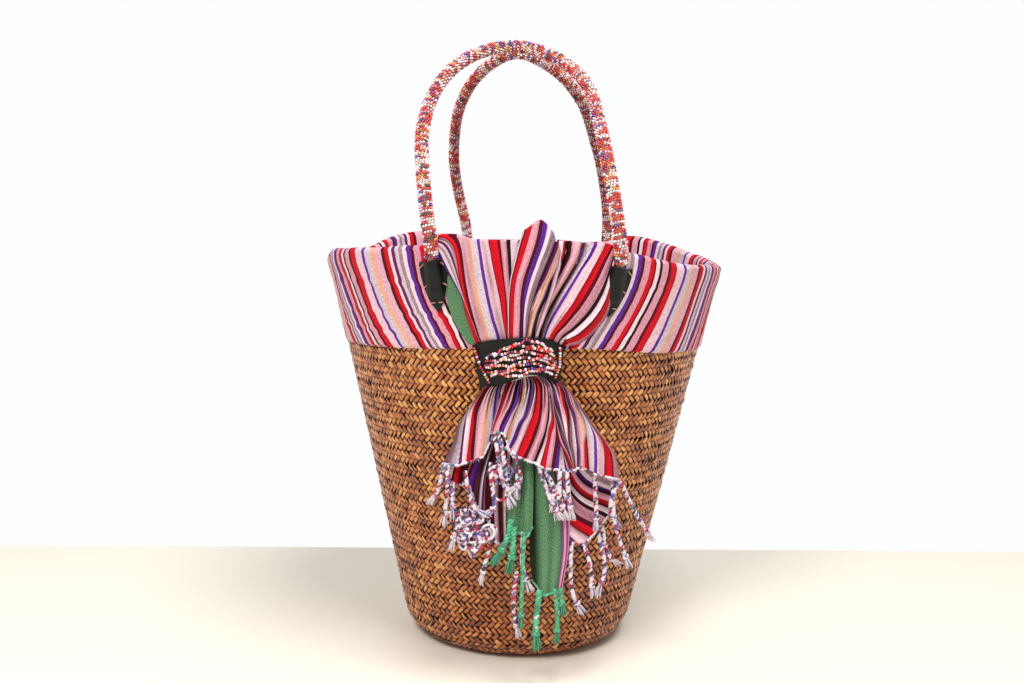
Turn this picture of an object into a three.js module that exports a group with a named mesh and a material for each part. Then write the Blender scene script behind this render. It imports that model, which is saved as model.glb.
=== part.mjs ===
// Palm leaf tote bag: a plaited palm basket with a striped shawl folded over its rim, gathered at
// the front through a beaded leather keeper, and two bead-covered rope handles on leather tabs.
// Millimetres, +Z up, origin at the middle of the underside, front of the bag towards -Y.
import * as THREE from "three";

// Basket
const BASE_FLAT = 74; // radius of the flat underside
const HEEL = 29; // rounding from the underside to the wall
const WALL_LEAN = 12.68; // degrees that the wall opens outwards
const PALM = 4.5; // thickness of the plaited palm
const RIM_SIDE = 336; // height of the finished rim at the left and right
const RIM_FRONT = 351; // the same at the front, where the handles pull it up
const RIM_BACK = 361;
// Rises and dips of the rim on top of that, as [degrees from the front towards +X, mm].
const RIM_WAVES = [[-180, -8], [-165, -8.5], [-156, -7.5], [-149, 0], [-143, 4], [-137, 4.8],
  [-131, 3.5], [-124, 0], [-117, -3], [-100, -1], [-78, 0], [-66, 3], [-49, 1], [-25, -1], [22, -1],
  [27, -2], [33, -3.5], [38, -5], [46, -6.5], [56, -5], [66, -3.5], [80, -3], [97, -1], [112, -1],
  [123, 1], [132, 2.7], [139, 3.2], [146, 2.5], [153, -6], [160, -8.5], [180, -8]];
const FIT = 0.3; // clearance between two pieces that lie on each other

// Shawl folded over the rim
const CLOTH = 1.6; // doubled cotton
const COLLAR_SIDE = 262; // height of the lower edge outside, at the left and right
const COLLAR_FRONT = 268; // and at the front and back
const FACING = 75; // how far the cloth hangs down inside
const RIM_ROUND = 3; // height over which the cloth rounds over the rim

// Leather keeper
const KEEPER_X = 2; // sewn a little right of the middle
const KEEPER_TOP_HALF = 35.5; // half width along the upper edge
const KEEPER_BOTTOM_HALF = 28.5;
const KEEPER_TOP = 271; // height of the upper corners
const KEEPER_BOTTOM = 240; // height of the lower corners
const KEEPER_TOP_ARCH = 10; // how far the upper edge rises in the middle
const KEEPER_BOTTOM_ARCH = 11;
const KEEPER_RISE = 13; // how far the middle stands off over the gathered cloth
const LEATHER = 2.2;
const STRANDS = 9; // bead strings across the keeper
const BEAD_STRING = 2.3; // diameter of a string of seed beads
const STRING_MARGIN = 0.13; // share of the keeper's height left bare above and below the strings
const STRING_REACH = 0.84; // share of the keeper's half width that the strings span
const ROW_PLACE = 0.925; // the upright rows, as a share of the half width
const ROW_MARGIN = 0.06;

// Cloth gathered above the keeper
const GATHER_LIFT = 4; // thickness of the gather at the rim
const GATHER_BUNCH = 4; // what it gains on the way down to the keeper
const GATHER_FOLD = 3.4; // depth of its folds
const GATHER_FADE = 0.7; // share of that gain given back where the keeper presses on it
const GATHER_RIM = [-50, -4.75, 29.25, 67]; // edges of its three bundles of folds at the rim
const GATHER_LOW = [-31, -6.75, 8.25, 36]; // the same at the keeper
const GATHER_PART = 0.25; // clearance on each side of a bundle
const PEAK = 17; // how far the middle fold stands above the rim
const NECK_HALF = 22; // half width of the cloth that passes under the keeper
const GREEN_CLOTH = 1.2;
const SLIVER_FROM = 0.37; // green border beside the gather, as shares of the gather's left edge
const SLIVER_TO = 0.97;
const SLIVER_APART = [5, 1.5]; // its distance from that edge at its top and bottom
const SLIVER_WIDTH = 3;

// Handles
const HANDLE_RADIUS = 5.75; // outside of the beads
const BEAD_LAYER = 1.85; // thickness of the bead wrapping
const HANDLE_TOP = 520.5;
const HANDLE_APART = 18; // distance of each handle's top from the middle of the bag
const HANDLE_CLEAR = 6; // height above the rim where a leg begins to lean inwards
const TAB_DROP = 12; // tops of the tabs below the rim
const TAB_WIDTH = 21;
const TAB_LENGTH = 39;
const TAB_NECK = 12; // width where the point begins
const TAB_SHOULDER = 0.55; // share of the length at full width
const TAB_POINT = 0.84; // share of the length where the point begins
const TAB_GAP = 1.8; // between a tab's top edge and the first beads
const ROPE_END = 20; // length of rope sewn in under a tab
const ROPE_FLAT = 0.5; // share of its radius left at the sewn end
const HUMP_REACH = 2.1; // half width of the leather raised by the rope, in rope radii
const HUMP_END = 1.6; // where the leather lies flat again, in rope ends
// Arches as [x, share of the height from the rim at the feet to HANDLE_TOP].
const FRONT_ARCH = [[-67, 0.066], [-73, 0.294], [-77, 0.517], [-69, 0.763], [-45, 0.938], [-13, 1],
  [22, 0.932], [49, 0.774], [60, 0.552], [68, 0.306], [75, 0.077]];
const BACK_ARCH = [[-68, 0.085], [-76, 0.307], [-78, 0.505], [-67, 0.769], [-41, 0.934], [-11, 1],
  [21, 0.937], [48, 0.796], [63, 0.601], [74, 0.385], [80, 0.157]];
const FEET = {
  front: { arch: FRONT_ARCH, left: { x: -65, tilt: 7 }, right: { x: 77, tilt: -11 } },
  back: { arch: BACK_ARCH, left: { x: -66, tilt: 9 }, right: { x: 80, tilt: -9 } },
};

// Tails of the shawl, hanging as curtains at fixed distances from the bag's axis
const TAIL_HINGE = 238; // height at which they swing
const TAIL_STANDOFF = 2.9; // between the wall and the rearmost layer, at that height
const TAIL_WAIST = 6.2; // half thickness of the bunch at the swing
const WAIST_START = 12; // degrees from straight up at which the rounding over the swing begins
const TAIL_CLOTH = 3.4; // the front fan, gathered cloth
const TAIL_FOLD = 4;
const TAIL_FOLDS = 6;
const HEM_RISE = 9; // upward bow of the front hem
const HEM_NOTCH = 20; // where one fold lifts the hem
const HEM_NOTCH_X = -14;
const HEM_NOTCH_WIDTH = 9;
const GREEN_FOLD = 2.4;
const LAYER = 1.6; // cloth of the layers behind
const FRINGE_RADIUS = 2;

const rad = THREE.MathUtils.degToRad;
const lerp = THREE.MathUtils.lerp;
const group = new THREE.Group();

const finish = (color, roughness, metalness = 0) =>
  new THREE.MeshStandardMaterial({ color, roughness, metalness });
const palm = finish(0x9a5f28, 0.5);
const striped = finish(0xc98a98, 0.9);
const green = finish(0x4f8a63, 0.9);
const leather = finish(0x1c2020, 0.45);
const beads = finish(0xc2343c, 0.25);
const rope = finish(0xb9a27c, 0.9);
const fringe = finish(0xd8d4dc, 0.9);
const greenFringe = finish(0x1fae6f, 0.9);

function add(name, geometry, material) {
  const mesh = new THREE.Mesh(geometry, material);
  mesh.name = name;
  group.add(mesh);
  return mesh;
}

// Basket surfaces. Angles are in radians from the front, towards +X.
const lean = rad(WALL_LEAN);
const heelTop = HEEL * (1 - Math.sin(lean));
const wallRadius = (z) => BASE_FLAT + HEEL * Math.cos(lean) + Math.tan(lean) * (z - heelTop);
const rimWave = (angle) => {
  const turn = THREE.MathUtils.euclideanModulo(THREE.MathUtils.radToDeg(angle) + 180, 360) - 180;
  const k = Math.max(1, RIM_WAVES.findIndex(([end]) => end >= turn));
  const [[from, low], [to, high]] = [RIM_WAVES[k - 1], RIM_WAVES[k]];
  return lerp(low, high, (turn - from) / (to - from));
};
const rimHeight = (angle) => {
  const c = Math.cos(angle);
  const even = c > 0
    ? RIM_SIDE + (RIM_FRONT - RIM_SIDE) * c * c
    : RIM_SIDE + (RIM_BACK - RIM_SIDE) * Math.abs(c) ** 1.3;
  return even + rimWave(angle);
};
const collarEdge = (angle) => lerp(COLLAR_SIDE, COLLAR_FRONT, Math.cos(angle) ** 2);
const onCollar = CLOTH + 2 * FIT; // distance off the wall of what lies on the cloth

// A point of the front of the bag at a given x and height, this far off the wall.
function onWall(x, z, off) {
  const r = wallRadius(z) + off;
  return new THREE.Vector3(x, -Math.sqrt(r * r - x * x), z);
}
function onCurtain(x, z, r) {
  return new THREE.Vector3(x, -Math.sqrt(r * r - x * x), z);
}

function closed(points, faces) {
  const geometry = new THREE.BufferGeometry();
  const flat = points.flatMap((p) => p.toArray());
  geometry.setAttribute("position", new THREE.Float32BufferAttribute(flat, 3));
  geometry.setIndex(faces);
  return geometry;
}
const quad = (faces, a, b, c, d) => faces.push(a, b, c, a, c, d);

// A band all round the bag: section(angle) gives its outline as [radius, height] points, anticlockwise.
const AROUND = 64;
function hoop(section) {
  const points = [];
  const faces = [];
  const count = section(0).length;
  for (let k = 0; k < AROUND; k++) {
    const angle = (k / AROUND) * 2 * Math.PI;
    for (const [r, z] of section(angle))
      points.push(new THREE.Vector3(r * Math.sin(angle), -r * Math.cos(angle), z));
    for (let s = 0; s < count; s++) {
      const next = ((k + 1) % AROUND) * count;
      quad(faces, k * count + s, next + s, next + ((s + 1) % count), k * count + ((s + 1) % count));
    }
  }
  return closed(points, faces);
}

// A closed panel between two surfaces over (u, v), u from left to right and v from top to bottom.
function panel(cols, rows, outer, inner) {
  const points = [];
  const faces = [];
  const half = (cols + 1) * (rows + 1);
  const at = (i, j) => j * (cols + 1) + i;
  for (const surface of [outer, inner])
    for (let j = 0; j <= rows; j++)
      for (let i = 0; i <= cols; i++) points.push(surface(i / cols, j / rows));
  for (let j = 0; j < rows; j++) {
    for (let i = 0; i < cols; i++) {
      quad(faces, at(i, j), at(i, j + 1), at(i + 1, j + 1), at(i + 1, j));
      quad(faces, half + at(i, j), half + at(i + 1, j), half + at(i + 1, j + 1), half + at(i, j + 1));
    }
    quad(faces, at(0, j), half + at(0, j), half + at(0, j + 1), at(0, j + 1));
    quad(faces, at(cols, j), at(cols, j + 1), half + at(cols, j + 1), half + at(cols, j));
  }
  for (let i = 0; i < cols; i++) {
    quad(faces, at(i, 0), at(i + 1, 0), half + at(i + 1, 0), half + at(i, 0));
    quad(faces, half + at(i, rows), half + at(i + 1, rows), at(i + 1, rows), at(i, rows));
  }
  return closed(points, faces);
}

// A round bar or pipe along a curve.
function bar(curve, radius, steps, sides, bore = 0) {
  const shape = new THREE.Shape().absarc(0, 0, radius, 0, 2 * Math.PI);
  if (bore) shape.holes.push(new THREE.Path().absarc(0, 0, bore, 0, 2 * Math.PI));
  return new THREE.ExtrudeGeometry(shape, { steps, curveSegments: sides / 2, extrudePath: curve });
}

// The plaited basket: a dished base, and the wall that is plaited on to it.
{
  const arc = (r, from, to, steps) =>
    Array.from({ length: steps + 1 }, (_, k) => {
      const a = lerp(from, to, k / steps);
      return new THREE.Vector2(BASE_FLAT + r * Math.cos(a), HEEL + r * Math.sin(a));
    });
  const inside = arc(HEEL - PALM, -lean, -Math.PI / 2, 4);
  inside[0].y = heelTop;
  const profile = [new THREE.Vector2(0, 0), ...arc(HEEL, -Math.PI / 2, -lean, 5), ...inside,
    new THREE.Vector2(0, PALM)];
  add("basket_base", new THREE.LatheGeometry(profile, AROUND).rotateX(Math.PI / 2), palm);
}
const wallTop = (angle) => rimHeight(angle) - CLOTH - FIT;
add("basket_wall", hoop((angle) => {
  const foot = heelTop + FIT;
  const top = wallTop(angle);
  const heights = [foot, lerp(foot, top, 0.5), top];
  const outside = heights.map((z) => [wallRadius(z), z]);
  return [...outside, ...outside.map(([r, z]) => [r - PALM, z]).reverse()];
}), palm);

// The shawl outside the wall, over the rim and down inside, as one strip of cloth.
add("shawl_collar", hoop((angle) => {
  const top = rimHeight(angle);
  const shoulder = top - RIM_ROUND;
  const edge = collarEdge(angle);
  const hang = top - FACING;
  const out = (z, off) => [wallRadius(z) + FIT + off, z];
  const into = (z, off) => [wallRadius(z) - PALM - FIT - off, z];
  const crown = wallRadius(top) - PALM / 2;
  return [out(edge, 0), out(edge, CLOTH), out(lerp(edge, shoulder, 0.5), CLOTH), out(shoulder, CLOTH),
    [crown + PALM / 2, top], [crown - PALM / 2, top],
    into(shoulder, CLOTH), into(hang, CLOTH), into(hang, 0),
    into(top - CLOTH, 0), out(top - CLOTH, 0)];
}), striped);

// The leather keeper, sewn flat at both ends and standing off the wall in the middle.
const keeperHalf = (z) =>
  lerp(KEEPER_BOTTOM_HALF, KEEPER_TOP_HALF, (z - KEEPER_BOTTOM) / (KEEPER_TOP - KEEPER_BOTTOM));
const keeperShare = (x, z) => (x - KEEPER_X) / keeperHalf(z);
const keeperTop = (s) => KEEPER_TOP + KEEPER_TOP_ARCH * (1 - s ** 4);
const keeperBottom = (s) => KEEPER_BOTTOM + KEEPER_BOTTOM_ARCH * (1 - s * s);
const keeperLift = (s) => onCollar + KEEPER_RISE * Math.max(0, 1 - s * s) ** 1.5;
function onKeeper(s, v, off) {
  const z = lerp(keeperTop(s), keeperBottom(s), v);
  const half = lerp(KEEPER_TOP_HALF, KEEPER_BOTTOM_HALF, v);
  return onWall(KEEPER_X + s * half, z, keeperLift(s) + off);
}
add("keeper_leather", panel(16, 4,
  (u, v) => onKeeper(2 * u - 1, v, LEATHER),
  (u, v) => onKeeper(2 * u - 1, v, 0)), leather);

const stringOff = LEATHER + FIT + BEAD_STRING / 2;
for (let k = 0; k < STRANDS; k++) {
  const v = lerp(STRING_MARGIN, 1 - STRING_MARGIN, k / (STRANDS - 1));
  const route = Array.from({ length: 9 }, (_, i) =>
    onKeeper(lerp(-STRING_REACH, STRING_REACH, i / 8), v, stringOff));
  add(`keeper_strand_${k + 1}`, bar(new THREE.CatmullRomCurve3(route), BEAD_STRING / 2, 10, 6), beads);
}
for (const [side, s] of [["left", -ROW_PLACE], ["right", ROW_PLACE]]) {
  const route = [ROW_MARGIN, 0.5, 1 - ROW_MARGIN].map((v) => onKeeper(s, v, stringOff));
  add(`keeper_row_${side}`, bar(new THREE.CatmullRomCurve3(route), BEAD_STRING / 2, 4, 6), beads);
}

// The gathered cloth above the keeper: three bundles of folds that narrow from the rim to its edge.
const topAtX = (x) => keeperTop(THREE.MathUtils.clamp(keeperShare(x, KEEPER_TOP), -1, 1)) + 2 * FIT;
const rimAtX = (x) => rimHeight(Math.asin(x / wallRadius(RIM_FRONT)));
function gather(name, k, folds, peak = 0) {
  const place = (u, v, off) => {
    const high = lerp(GATHER_RIM[k] + GATHER_PART, GATHER_RIM[k + 1] - GATHER_PART, u);
    const low = lerp(GATHER_LOW[k] + GATHER_PART, GATHER_LOW[k + 1] - GATHER_PART, u);
    const top = rimAtX(high) + peak * Math.sin(Math.PI * u) ** 2;
    return onWall(lerp(high, low, v), lerp(top, topAtX(low), v), off);
  };
  const fold = (u) => 0.5 - 0.5 * Math.cos(2 * Math.PI * folds * u);
  const bulge = (u, v) => GATHER_LIFT + GATHER_BUNCH * v * (1 - v * GATHER_FADE) + GATHER_FOLD * fold(u);
  add(name, panel(folds * 4, 6,
    (u, v) => place(u, v, onCollar + bulge(u, v)),
    (u, v) => place(u, v, onCollar)), striped);
}
gather("shawl_gather_left", 0, 3);
gather("shawl_gather_peak", 1, 2, PEAK);
gather("shawl_gather_right", 2, 3);
{
  const place = (u, v, off) => {
    const share = lerp(SLIVER_FROM, SLIVER_TO, v);
    const edge = lerp(GATHER_RIM[0], GATHER_LOW[0], share);
    const z = lerp(rimAtX(GATHER_RIM[0]), topAtX(GATHER_LOW[0]), share);
    return onWall(edge - lerp(...SLIVER_APART, v) - SLIVER_WIDTH * (1 - u), z, off);
  };
  add("green_border_sliver", panel(2, 4,
    (u, v) => place(u, v, onCollar + GREEN_CLOTH),
    (u, v) => place(u, v, onCollar)), green);
}

// The neck of the shawl, bunched between the wall and the keeper.
{
  const neckBottom = TAIL_HINGE + TAIL_WAIST + FIT;
  const place = (u, v, inside) => {
    const x = KEEPER_X + lerp(-NECK_HALF, NECK_HALF, u);
    const z = lerp(topAtX(x) - 3 * FIT, neckBottom, v);
    const lift = keeperLift(keeperShare(x, z)) - 3 * FIT;
    return onWall(x, z, inside ? onCollar : lift);
  };
  add("shawl_neck", panel(8, 4, (u, v) => place(u, v, false), (u, v) => place(u, v, true)), striped);
}

// Leather tabs with the ends of the handle ropes sewn in under them. A back tab is a front one turned round.
const ropeRadius = HANDLE_RADIUS - BEAD_LAYER - FIT;
const footOff = onCollar + HANDLE_RADIUS;
const feet = {};
for (const [face, { left, right }] of Object.entries(FEET)) {
  for (const [side, { x, tilt }] of Object.entries({ left, right })) {
    const turned = face === "back" ? -1 : 1;
    const footX = x * turned;
    const slant = rad(tilt * turned);
    const angle = Math.asin(x / wallRadius(RIM_SIDE));
    const top = rimHeight(turned > 0 ? angle : Math.PI - angle) - TAB_DROP;
    const place = (across, down, off) =>
      onWall(footX + across * Math.cos(slant) + down * Math.sin(slant),
        top + across * Math.sin(slant) - down * Math.cos(slant), off);
    const half = (v) => v < TAB_SHOULDER
      ? TAB_WIDTH / 2
      : v < TAB_POINT
        ? lerp(TAB_WIDTH, TAB_NECK, (v - TAB_SHOULDER) / (TAB_POINT - TAB_SHOULDER)) / 2
        : lerp(TAB_NECK, 1, (v - TAB_POINT) / (1 - TAB_POINT)) / 2;
    const ropeDeep = ROPE_FLAT * ropeRadius;
    const ropeOff = (down) => lerp(footOff, onCollar + FIT + ropeDeep, Math.min(1, down / ROPE_END));
    const ropeRound = (down) => lerp(ropeRadius, ropeDeep, Math.min(1, down / ROPE_END));
    const hump = (across, down) => {
      const reach = HUMP_REACH * ropeRadius;
      const crest = ropeOff(down) + ropeRound(down) + 2 * FIT - onCollar;
      const fade = THREE.MathUtils.clamp((ROPE_END * HUMP_END - down) / (ROPE_END / 2), 0, 1);
      return crest * fade * Math.max(0, 1 - (across / reach) ** 4);
    };
    const skin = (thickness) => (u, v) => {
      const across = half(v) * (2 * u - 1);
      return place(across, v * TAB_LENGTH, onCollar + hump(across, v * TAB_LENGTH) + thickness);
    };
    const spin = turned < 0 ? Math.PI : 0;
    add(`tab_${face}_${side}`, panel(8, 9, skin(LEATHER), skin(0)).rotateZ(spin), leather);
    const ends = [0, ROPE_END].map((down) => place(0, down, ropeOff(down)));
    const stub = new THREE.CylinderGeometry(ropeRadius, ropeDeep, ends[0].distanceTo(ends[1]), 8);
    stub.applyQuaternion(new THREE.Quaternion().setFromUnitVectors(
      new THREE.Vector3(0, 1, 0), ends[0].clone().sub(ends[1]).normalize()));
    const middle = ends[0].clone().add(ends[1]).multiplyScalar(0.5);
    add(`rope_end_${face}_${side}`, stub.translate(...middle).rotateZ(spin), rope);
    feet[`${face}_${side}`] = { x, z: top + TAB_GAP };
  }
}

// Beaded rope handles: up the wall, over the rim, then leaning in towards each other.
const HANDLE_STEPS = 36;
for (const [face, { arch }] of Object.entries(FEET)) {
  const side = face === "back" ? 1 : -1;
  const standoff = (x, z) => Math.sqrt((wallRadius(z) + footOff) ** 2 - x * x);
  const depth = (x, z, foot) => {
    const bend = foot.z - TAB_GAP + TAB_DROP + HANDLE_CLEAR;
    const t = Math.max(0, (z - bend) / (HANDLE_TOP - bend));
    return z < bend
      ? standoff(x, z)
      : HANDLE_APART + (standoff(foot.x, bend) - HANDLE_APART) * (1 - t * t);
  };
  const [a, b] = [feet[`${face}_left`], feet[`${face}_right`]];
  const start = Math.max(a.z, b.z) + TAB_DROP;
  const raised = arch.map(([x, share]) => [x, lerp(start, HANDLE_TOP, share)]);
  const route = [[a.x, a.z], [a.x, a.z + TAB_DROP], ...raised, [b.x, b.z + TAB_DROP], [b.x, b.z]];
  const curve = new THREE.CatmullRomCurve3(route.map(([x, z]) =>
    new THREE.Vector3(x, side * depth(x, z, x < 0 ? a : b), z)));
  add(`handle_rope_${face}`, bar(curve, ropeRadius, HANDLE_STEPS, 8), rope);
  add(`handle_beads_${face}`, bar(curve, HANDLE_RADIUS, HANDLE_STEPS, 8, ropeRadius + FIT), beads);
}

// Tails of the shawl. Each layer is a curtain between two edges, given from its top to its hem.
const underRadius = wallRadius(TAIL_HINGE) + TAIL_STANDOFF;
const greenRadius = underRadius + 2 * LAYER + FIT;
const tailRadius = greenRadius + GREEN_CLOTH + GREEN_FOLD + FIT;
const along = (edge, v) => {
  const t = Math.min(v * (edge.length - 1), edge.length - 1 - 1e-9);
  const k = Math.floor(t);
  return [0, 1].map((n) => lerp(edge[k][n], edge[k + 1][n], t - k));
};
const across = (left, right, u, v) => {
  const [a, b] = [along(left, v), along(right, v)];
  return [lerp(a[0], b[0], u), lerp(a[1], b[1], u)];
};
const FRONT_LEFT = [[-20, 232], [-34, 222], [-46, 201], [-51, 185], [-55, 178]];
const FRONT_RIGHT = [[24, 232], [45, 229], [59, 213], [71, 192], [81, 168]];
const hemLift = (x, u) =>
  HEM_RISE * Math.sin(Math.PI * u) + HEM_NOTCH * Math.exp(-(((x - HEM_NOTCH_X) / HEM_NOTCH_WIDTH) ** 2));
{
  const WAIST_ROWS = 3;
  const ROWS = 10;
  const fold = (u) => 0.5 - 0.5 * Math.cos(2 * Math.PI * TAIL_FOLDS * u);
  const place = (u, v, sign) => {
    const row = Math.round(v * ROWS);
    const x = KEEPER_X + lerp(-NECK_HALF, NECK_HALF, u);
    const waist = TAIL_WAIST * (1 - 0.5 * (2 * u - 1) ** 2);
    if (row < WAIST_ROWS) {
      const a = rad(lerp(WAIST_START, 90, row / (WAIST_ROWS - 1)));
      return onCurtain(x, TAIL_HINGE + waist * Math.cos(a), tailRadius + sign * waist * Math.sin(a));
    }
    const w = (row - WAIST_ROWS) / (ROWS - WAIST_ROWS);
    const [px, pz] = across(FRONT_LEFT, FRONT_RIGHT, u, w);
    const out = TAIL_CLOTH + TAIL_FOLD * fold(u) * Math.min(1, 0.4 + w);
    return onCurtain(px, pz + hemLift(px, u) * w * w, tailRadius + (sign > 0 ? out : 0));
  };
  add("tail_front", panel(24, ROWS, (u, v) => place(u, v, 1), (u, v) => place(u, v, -1)), striped);
}
const bordering = { radius: greenRadius, hang: FRINGE_RADIUS + FIT, cloth: GREEN_CLOTH, fold: GREEN_FOLD,
  material: green };
const behind = { radius: underRadius, hang: LAYER, cloth: LAYER, fold: LAYER, material: striped };
const LAYERS = {
  green_panel_small: { left: [[0, 226], [-6, 160], [1, 137]], right: [[13, 226], [16, 164], [15, 124]],
    ...bordering, folds: 2 },
  green_panel_large: { left: [[13.8, 226], [16.8, 164], [21, 82]], right: [[24, 226], [33, 138], [39, 80]],
    ...bordering, folds: 2 },
  tail_under_left: { left: [[-16, 226], [-52, 172], [-30, 138], [-17, 124]],
    right: [[4, 226], [4, 190], [0, 150], [-2, 126]],
    ...behind, folds: 3 },
  tail_under_right: { left: [[4.8, 226], [20, 190], [32, 150], [42, 117]],
    right: [[38, 226], [81, 162], [74, 146], [60, 112]],
    ...behind, folds: 3 },
};
for (const [name, { left, right, radius, cloth, fold, folds, material }] of Object.entries(LAYERS)) {
  const place = (u, v, off) => {
    const [x, z] = across(left, right, u, v);
    return onCurtain(x, z, radius + off);
  };
  const depth = (u) => cloth + fold * (0.5 - 0.5 * Math.cos(2 * Math.PI * folds * u));
  add(name, panel(folds * 4, 6, (u, v) => place(u, v, depth(u)), (u, v) => place(u, v, 0)), material);
}

// Knotted fringe cords: each hangs from a hem at the first x to a tip at the second x and a height.
const hemHeight = (layer, x) => {
  const [left, right] = layer === "front"
    ? [FRONT_LEFT.at(-1), FRONT_RIGHT.at(-1)]
    : [LAYERS[layer].left.at(-1), LAYERS[layer].right.at(-1)];
  const u = (x - left[0]) / (right[0] - left[0]);
  return lerp(left[1], right[1], u) + (layer === "front" ? hemLift(x, u) : 0);
};
const FRINGE = [
  ["front", -53, -67, 144], ["front", -48, -55, 130], ["front", -41, -46, 112], ["front", -33, -38, 101],
  ["front", -24, -25, 120], ["front", -16, -11, 163], ["front", -5, 3, 150], ["front", 24, 34, 146],
  ["front", 43, 43, 139], ["front", 62, 66, 125], ["front", 71, 92, 94], ["front", 78, 112, 114],
  ["tail_under_left", -15, -23, 85], ["tail_under_left", -6, 2, 52], ["green_panel_small", 4, -12, 96],
  ["green_panel_small", 12, 8, 45], ["green_panel_large", 24, 20, 35], ["green_panel_large", 36, 36.5, 39],
  ["tail_under_right", 45, 55, 62], ["tail_under_right", 57, 67, 73],
];
FRINGE.forEach(([layer, x, tipX, tipZ], k) => {
  const r = layer === "front" ? tailRadius + FRINGE_RADIUS : LAYERS[layer].radius + LAYERS[layer].hang;
  const edges = [-1, 0, 1].map((n) => hemHeight(layer, x + n * FRINGE_RADIUS));
  const tilt = FRINGE_RADIUS * Math.abs(tipX - x) / (Math.min(...edges) - tipZ);
  const top = Math.min(...edges) - tilt - FIT;
  const middle = onCurtain(lerp(x, tipX, 0.4), lerp(top, tipZ, 0.5), r);
  const route = [onCurtain(x, top, r), middle, onCurtain(tipX, tipZ, r)];
  const material = layer.startsWith("green") ? greenFringe : fringe;
  add(`fringe_${k + 1}`, bar(new THREE.CatmullRomCurve3(route), FRINGE_RADIUS, 4, 6), material);
});

export default group;
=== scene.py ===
# %% [markdown]
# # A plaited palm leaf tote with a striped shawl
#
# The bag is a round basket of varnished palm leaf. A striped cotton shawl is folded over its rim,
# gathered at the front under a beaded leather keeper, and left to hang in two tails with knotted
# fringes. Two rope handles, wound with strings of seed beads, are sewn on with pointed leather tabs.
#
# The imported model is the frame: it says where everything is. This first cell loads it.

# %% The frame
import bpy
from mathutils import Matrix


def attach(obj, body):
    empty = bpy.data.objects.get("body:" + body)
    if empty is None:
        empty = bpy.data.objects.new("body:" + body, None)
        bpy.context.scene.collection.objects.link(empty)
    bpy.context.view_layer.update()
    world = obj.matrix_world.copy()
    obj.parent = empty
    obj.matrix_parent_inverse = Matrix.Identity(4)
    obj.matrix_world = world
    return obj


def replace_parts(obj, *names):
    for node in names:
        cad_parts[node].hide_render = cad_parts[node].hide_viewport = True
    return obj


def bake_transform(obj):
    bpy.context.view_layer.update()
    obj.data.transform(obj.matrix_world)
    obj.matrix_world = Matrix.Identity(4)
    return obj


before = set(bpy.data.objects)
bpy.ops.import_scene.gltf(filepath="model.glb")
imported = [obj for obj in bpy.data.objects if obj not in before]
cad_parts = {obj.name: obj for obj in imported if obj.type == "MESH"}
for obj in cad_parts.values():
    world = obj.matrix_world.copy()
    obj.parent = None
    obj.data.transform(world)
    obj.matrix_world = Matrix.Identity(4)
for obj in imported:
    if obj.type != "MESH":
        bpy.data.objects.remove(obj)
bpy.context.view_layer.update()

# %% Tools
import math
import bpy
import numpy as np
from mathutils import Matrix, Vector

# %% [markdown]
# ## The camera
#
# The photo was taken from about a metre away, a little above the keeper and turned slightly down.
# A camera is an object like any other. It looks along its own -Z, so a direction is turned into a
# rotation with to_track_quat, and a small roll about that axis levels the table as in the photo.

# %% Camera
camera = bpy.data.objects.new("camera", bpy.data.cameras.new("camera"))
bpy.context.collection.objects.link(camera)
bpy.context.scene.camera = camera
camera.data.lens = 39.28
camera.location = (0.03056, -1.00718, 0.3561)
looking = Vector((-0.0398, 0.9948, -0.0937)).to_track_quat("-Z", "Y").to_matrix()
camera.rotation_euler = (looking @ Matrix.Rotation(0.021, 3, "Z")).to_euler()
print("camera at", tuple(round(v, 3) for v in camera.location))

# %% [markdown]
# ## Shader maths as Python
#
# Materials here are computed from positions and from numbers stored on the meshes. Writing that as
# node clicks is slow to read, so one small class wraps a socket and turns +, -, * and / into Math
# nodes. A second class makes a material and adds any other node: its settings go in first, because
# they can change which sockets the node has, and then the values or links of its sockets.

# %% Sockets that can be added up
class Wire:
    """An output socket. Arithmetic on it adds Math nodes to its material."""

    def __init__(self, finish, socket):
        self.finish = finish
        self.socket = socket

    def math(self, operation, first, second=0.0):
        return self.finish.node("ShaderNodeMath", {"operation": operation}, {0: first, 1: second})

    def __add__(self, other):
        return self.math("ADD", self, other)

    def __sub__(self, other):
        return self.math("SUBTRACT", self, other)

    def __rsub__(self, other):
        return self.math("SUBTRACT", other, self)

    def __mul__(self, other):
        return self.math("MULTIPLY", self, other)

    def __truediv__(self, other):
        return self.math("DIVIDE", self, other)

    __radd__ = __add__
    __rmul__ = __mul__

    def fraction(self):
        return self.math("FRACT", self)

    def sine(self):
        return self.math("SINE", self)

    def or_more(self, other):
        return self.math("MAXIMUM", self, other)

    def clamped(self):
        return self.math("MINIMUM", self.or_more(0.0), 1.0)


# %% Materials
def paint(red, green, blue):
    """A colour as seen on a screen, 0 to 255, in the linear numbers that shaders use."""
    linear = [c / 255 / 12.92 if c < 11 else ((c / 255 + 0.055) / 1.055) ** 2.4 for c in (red, green, blue)]
    return (*linear, 1.0)


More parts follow.
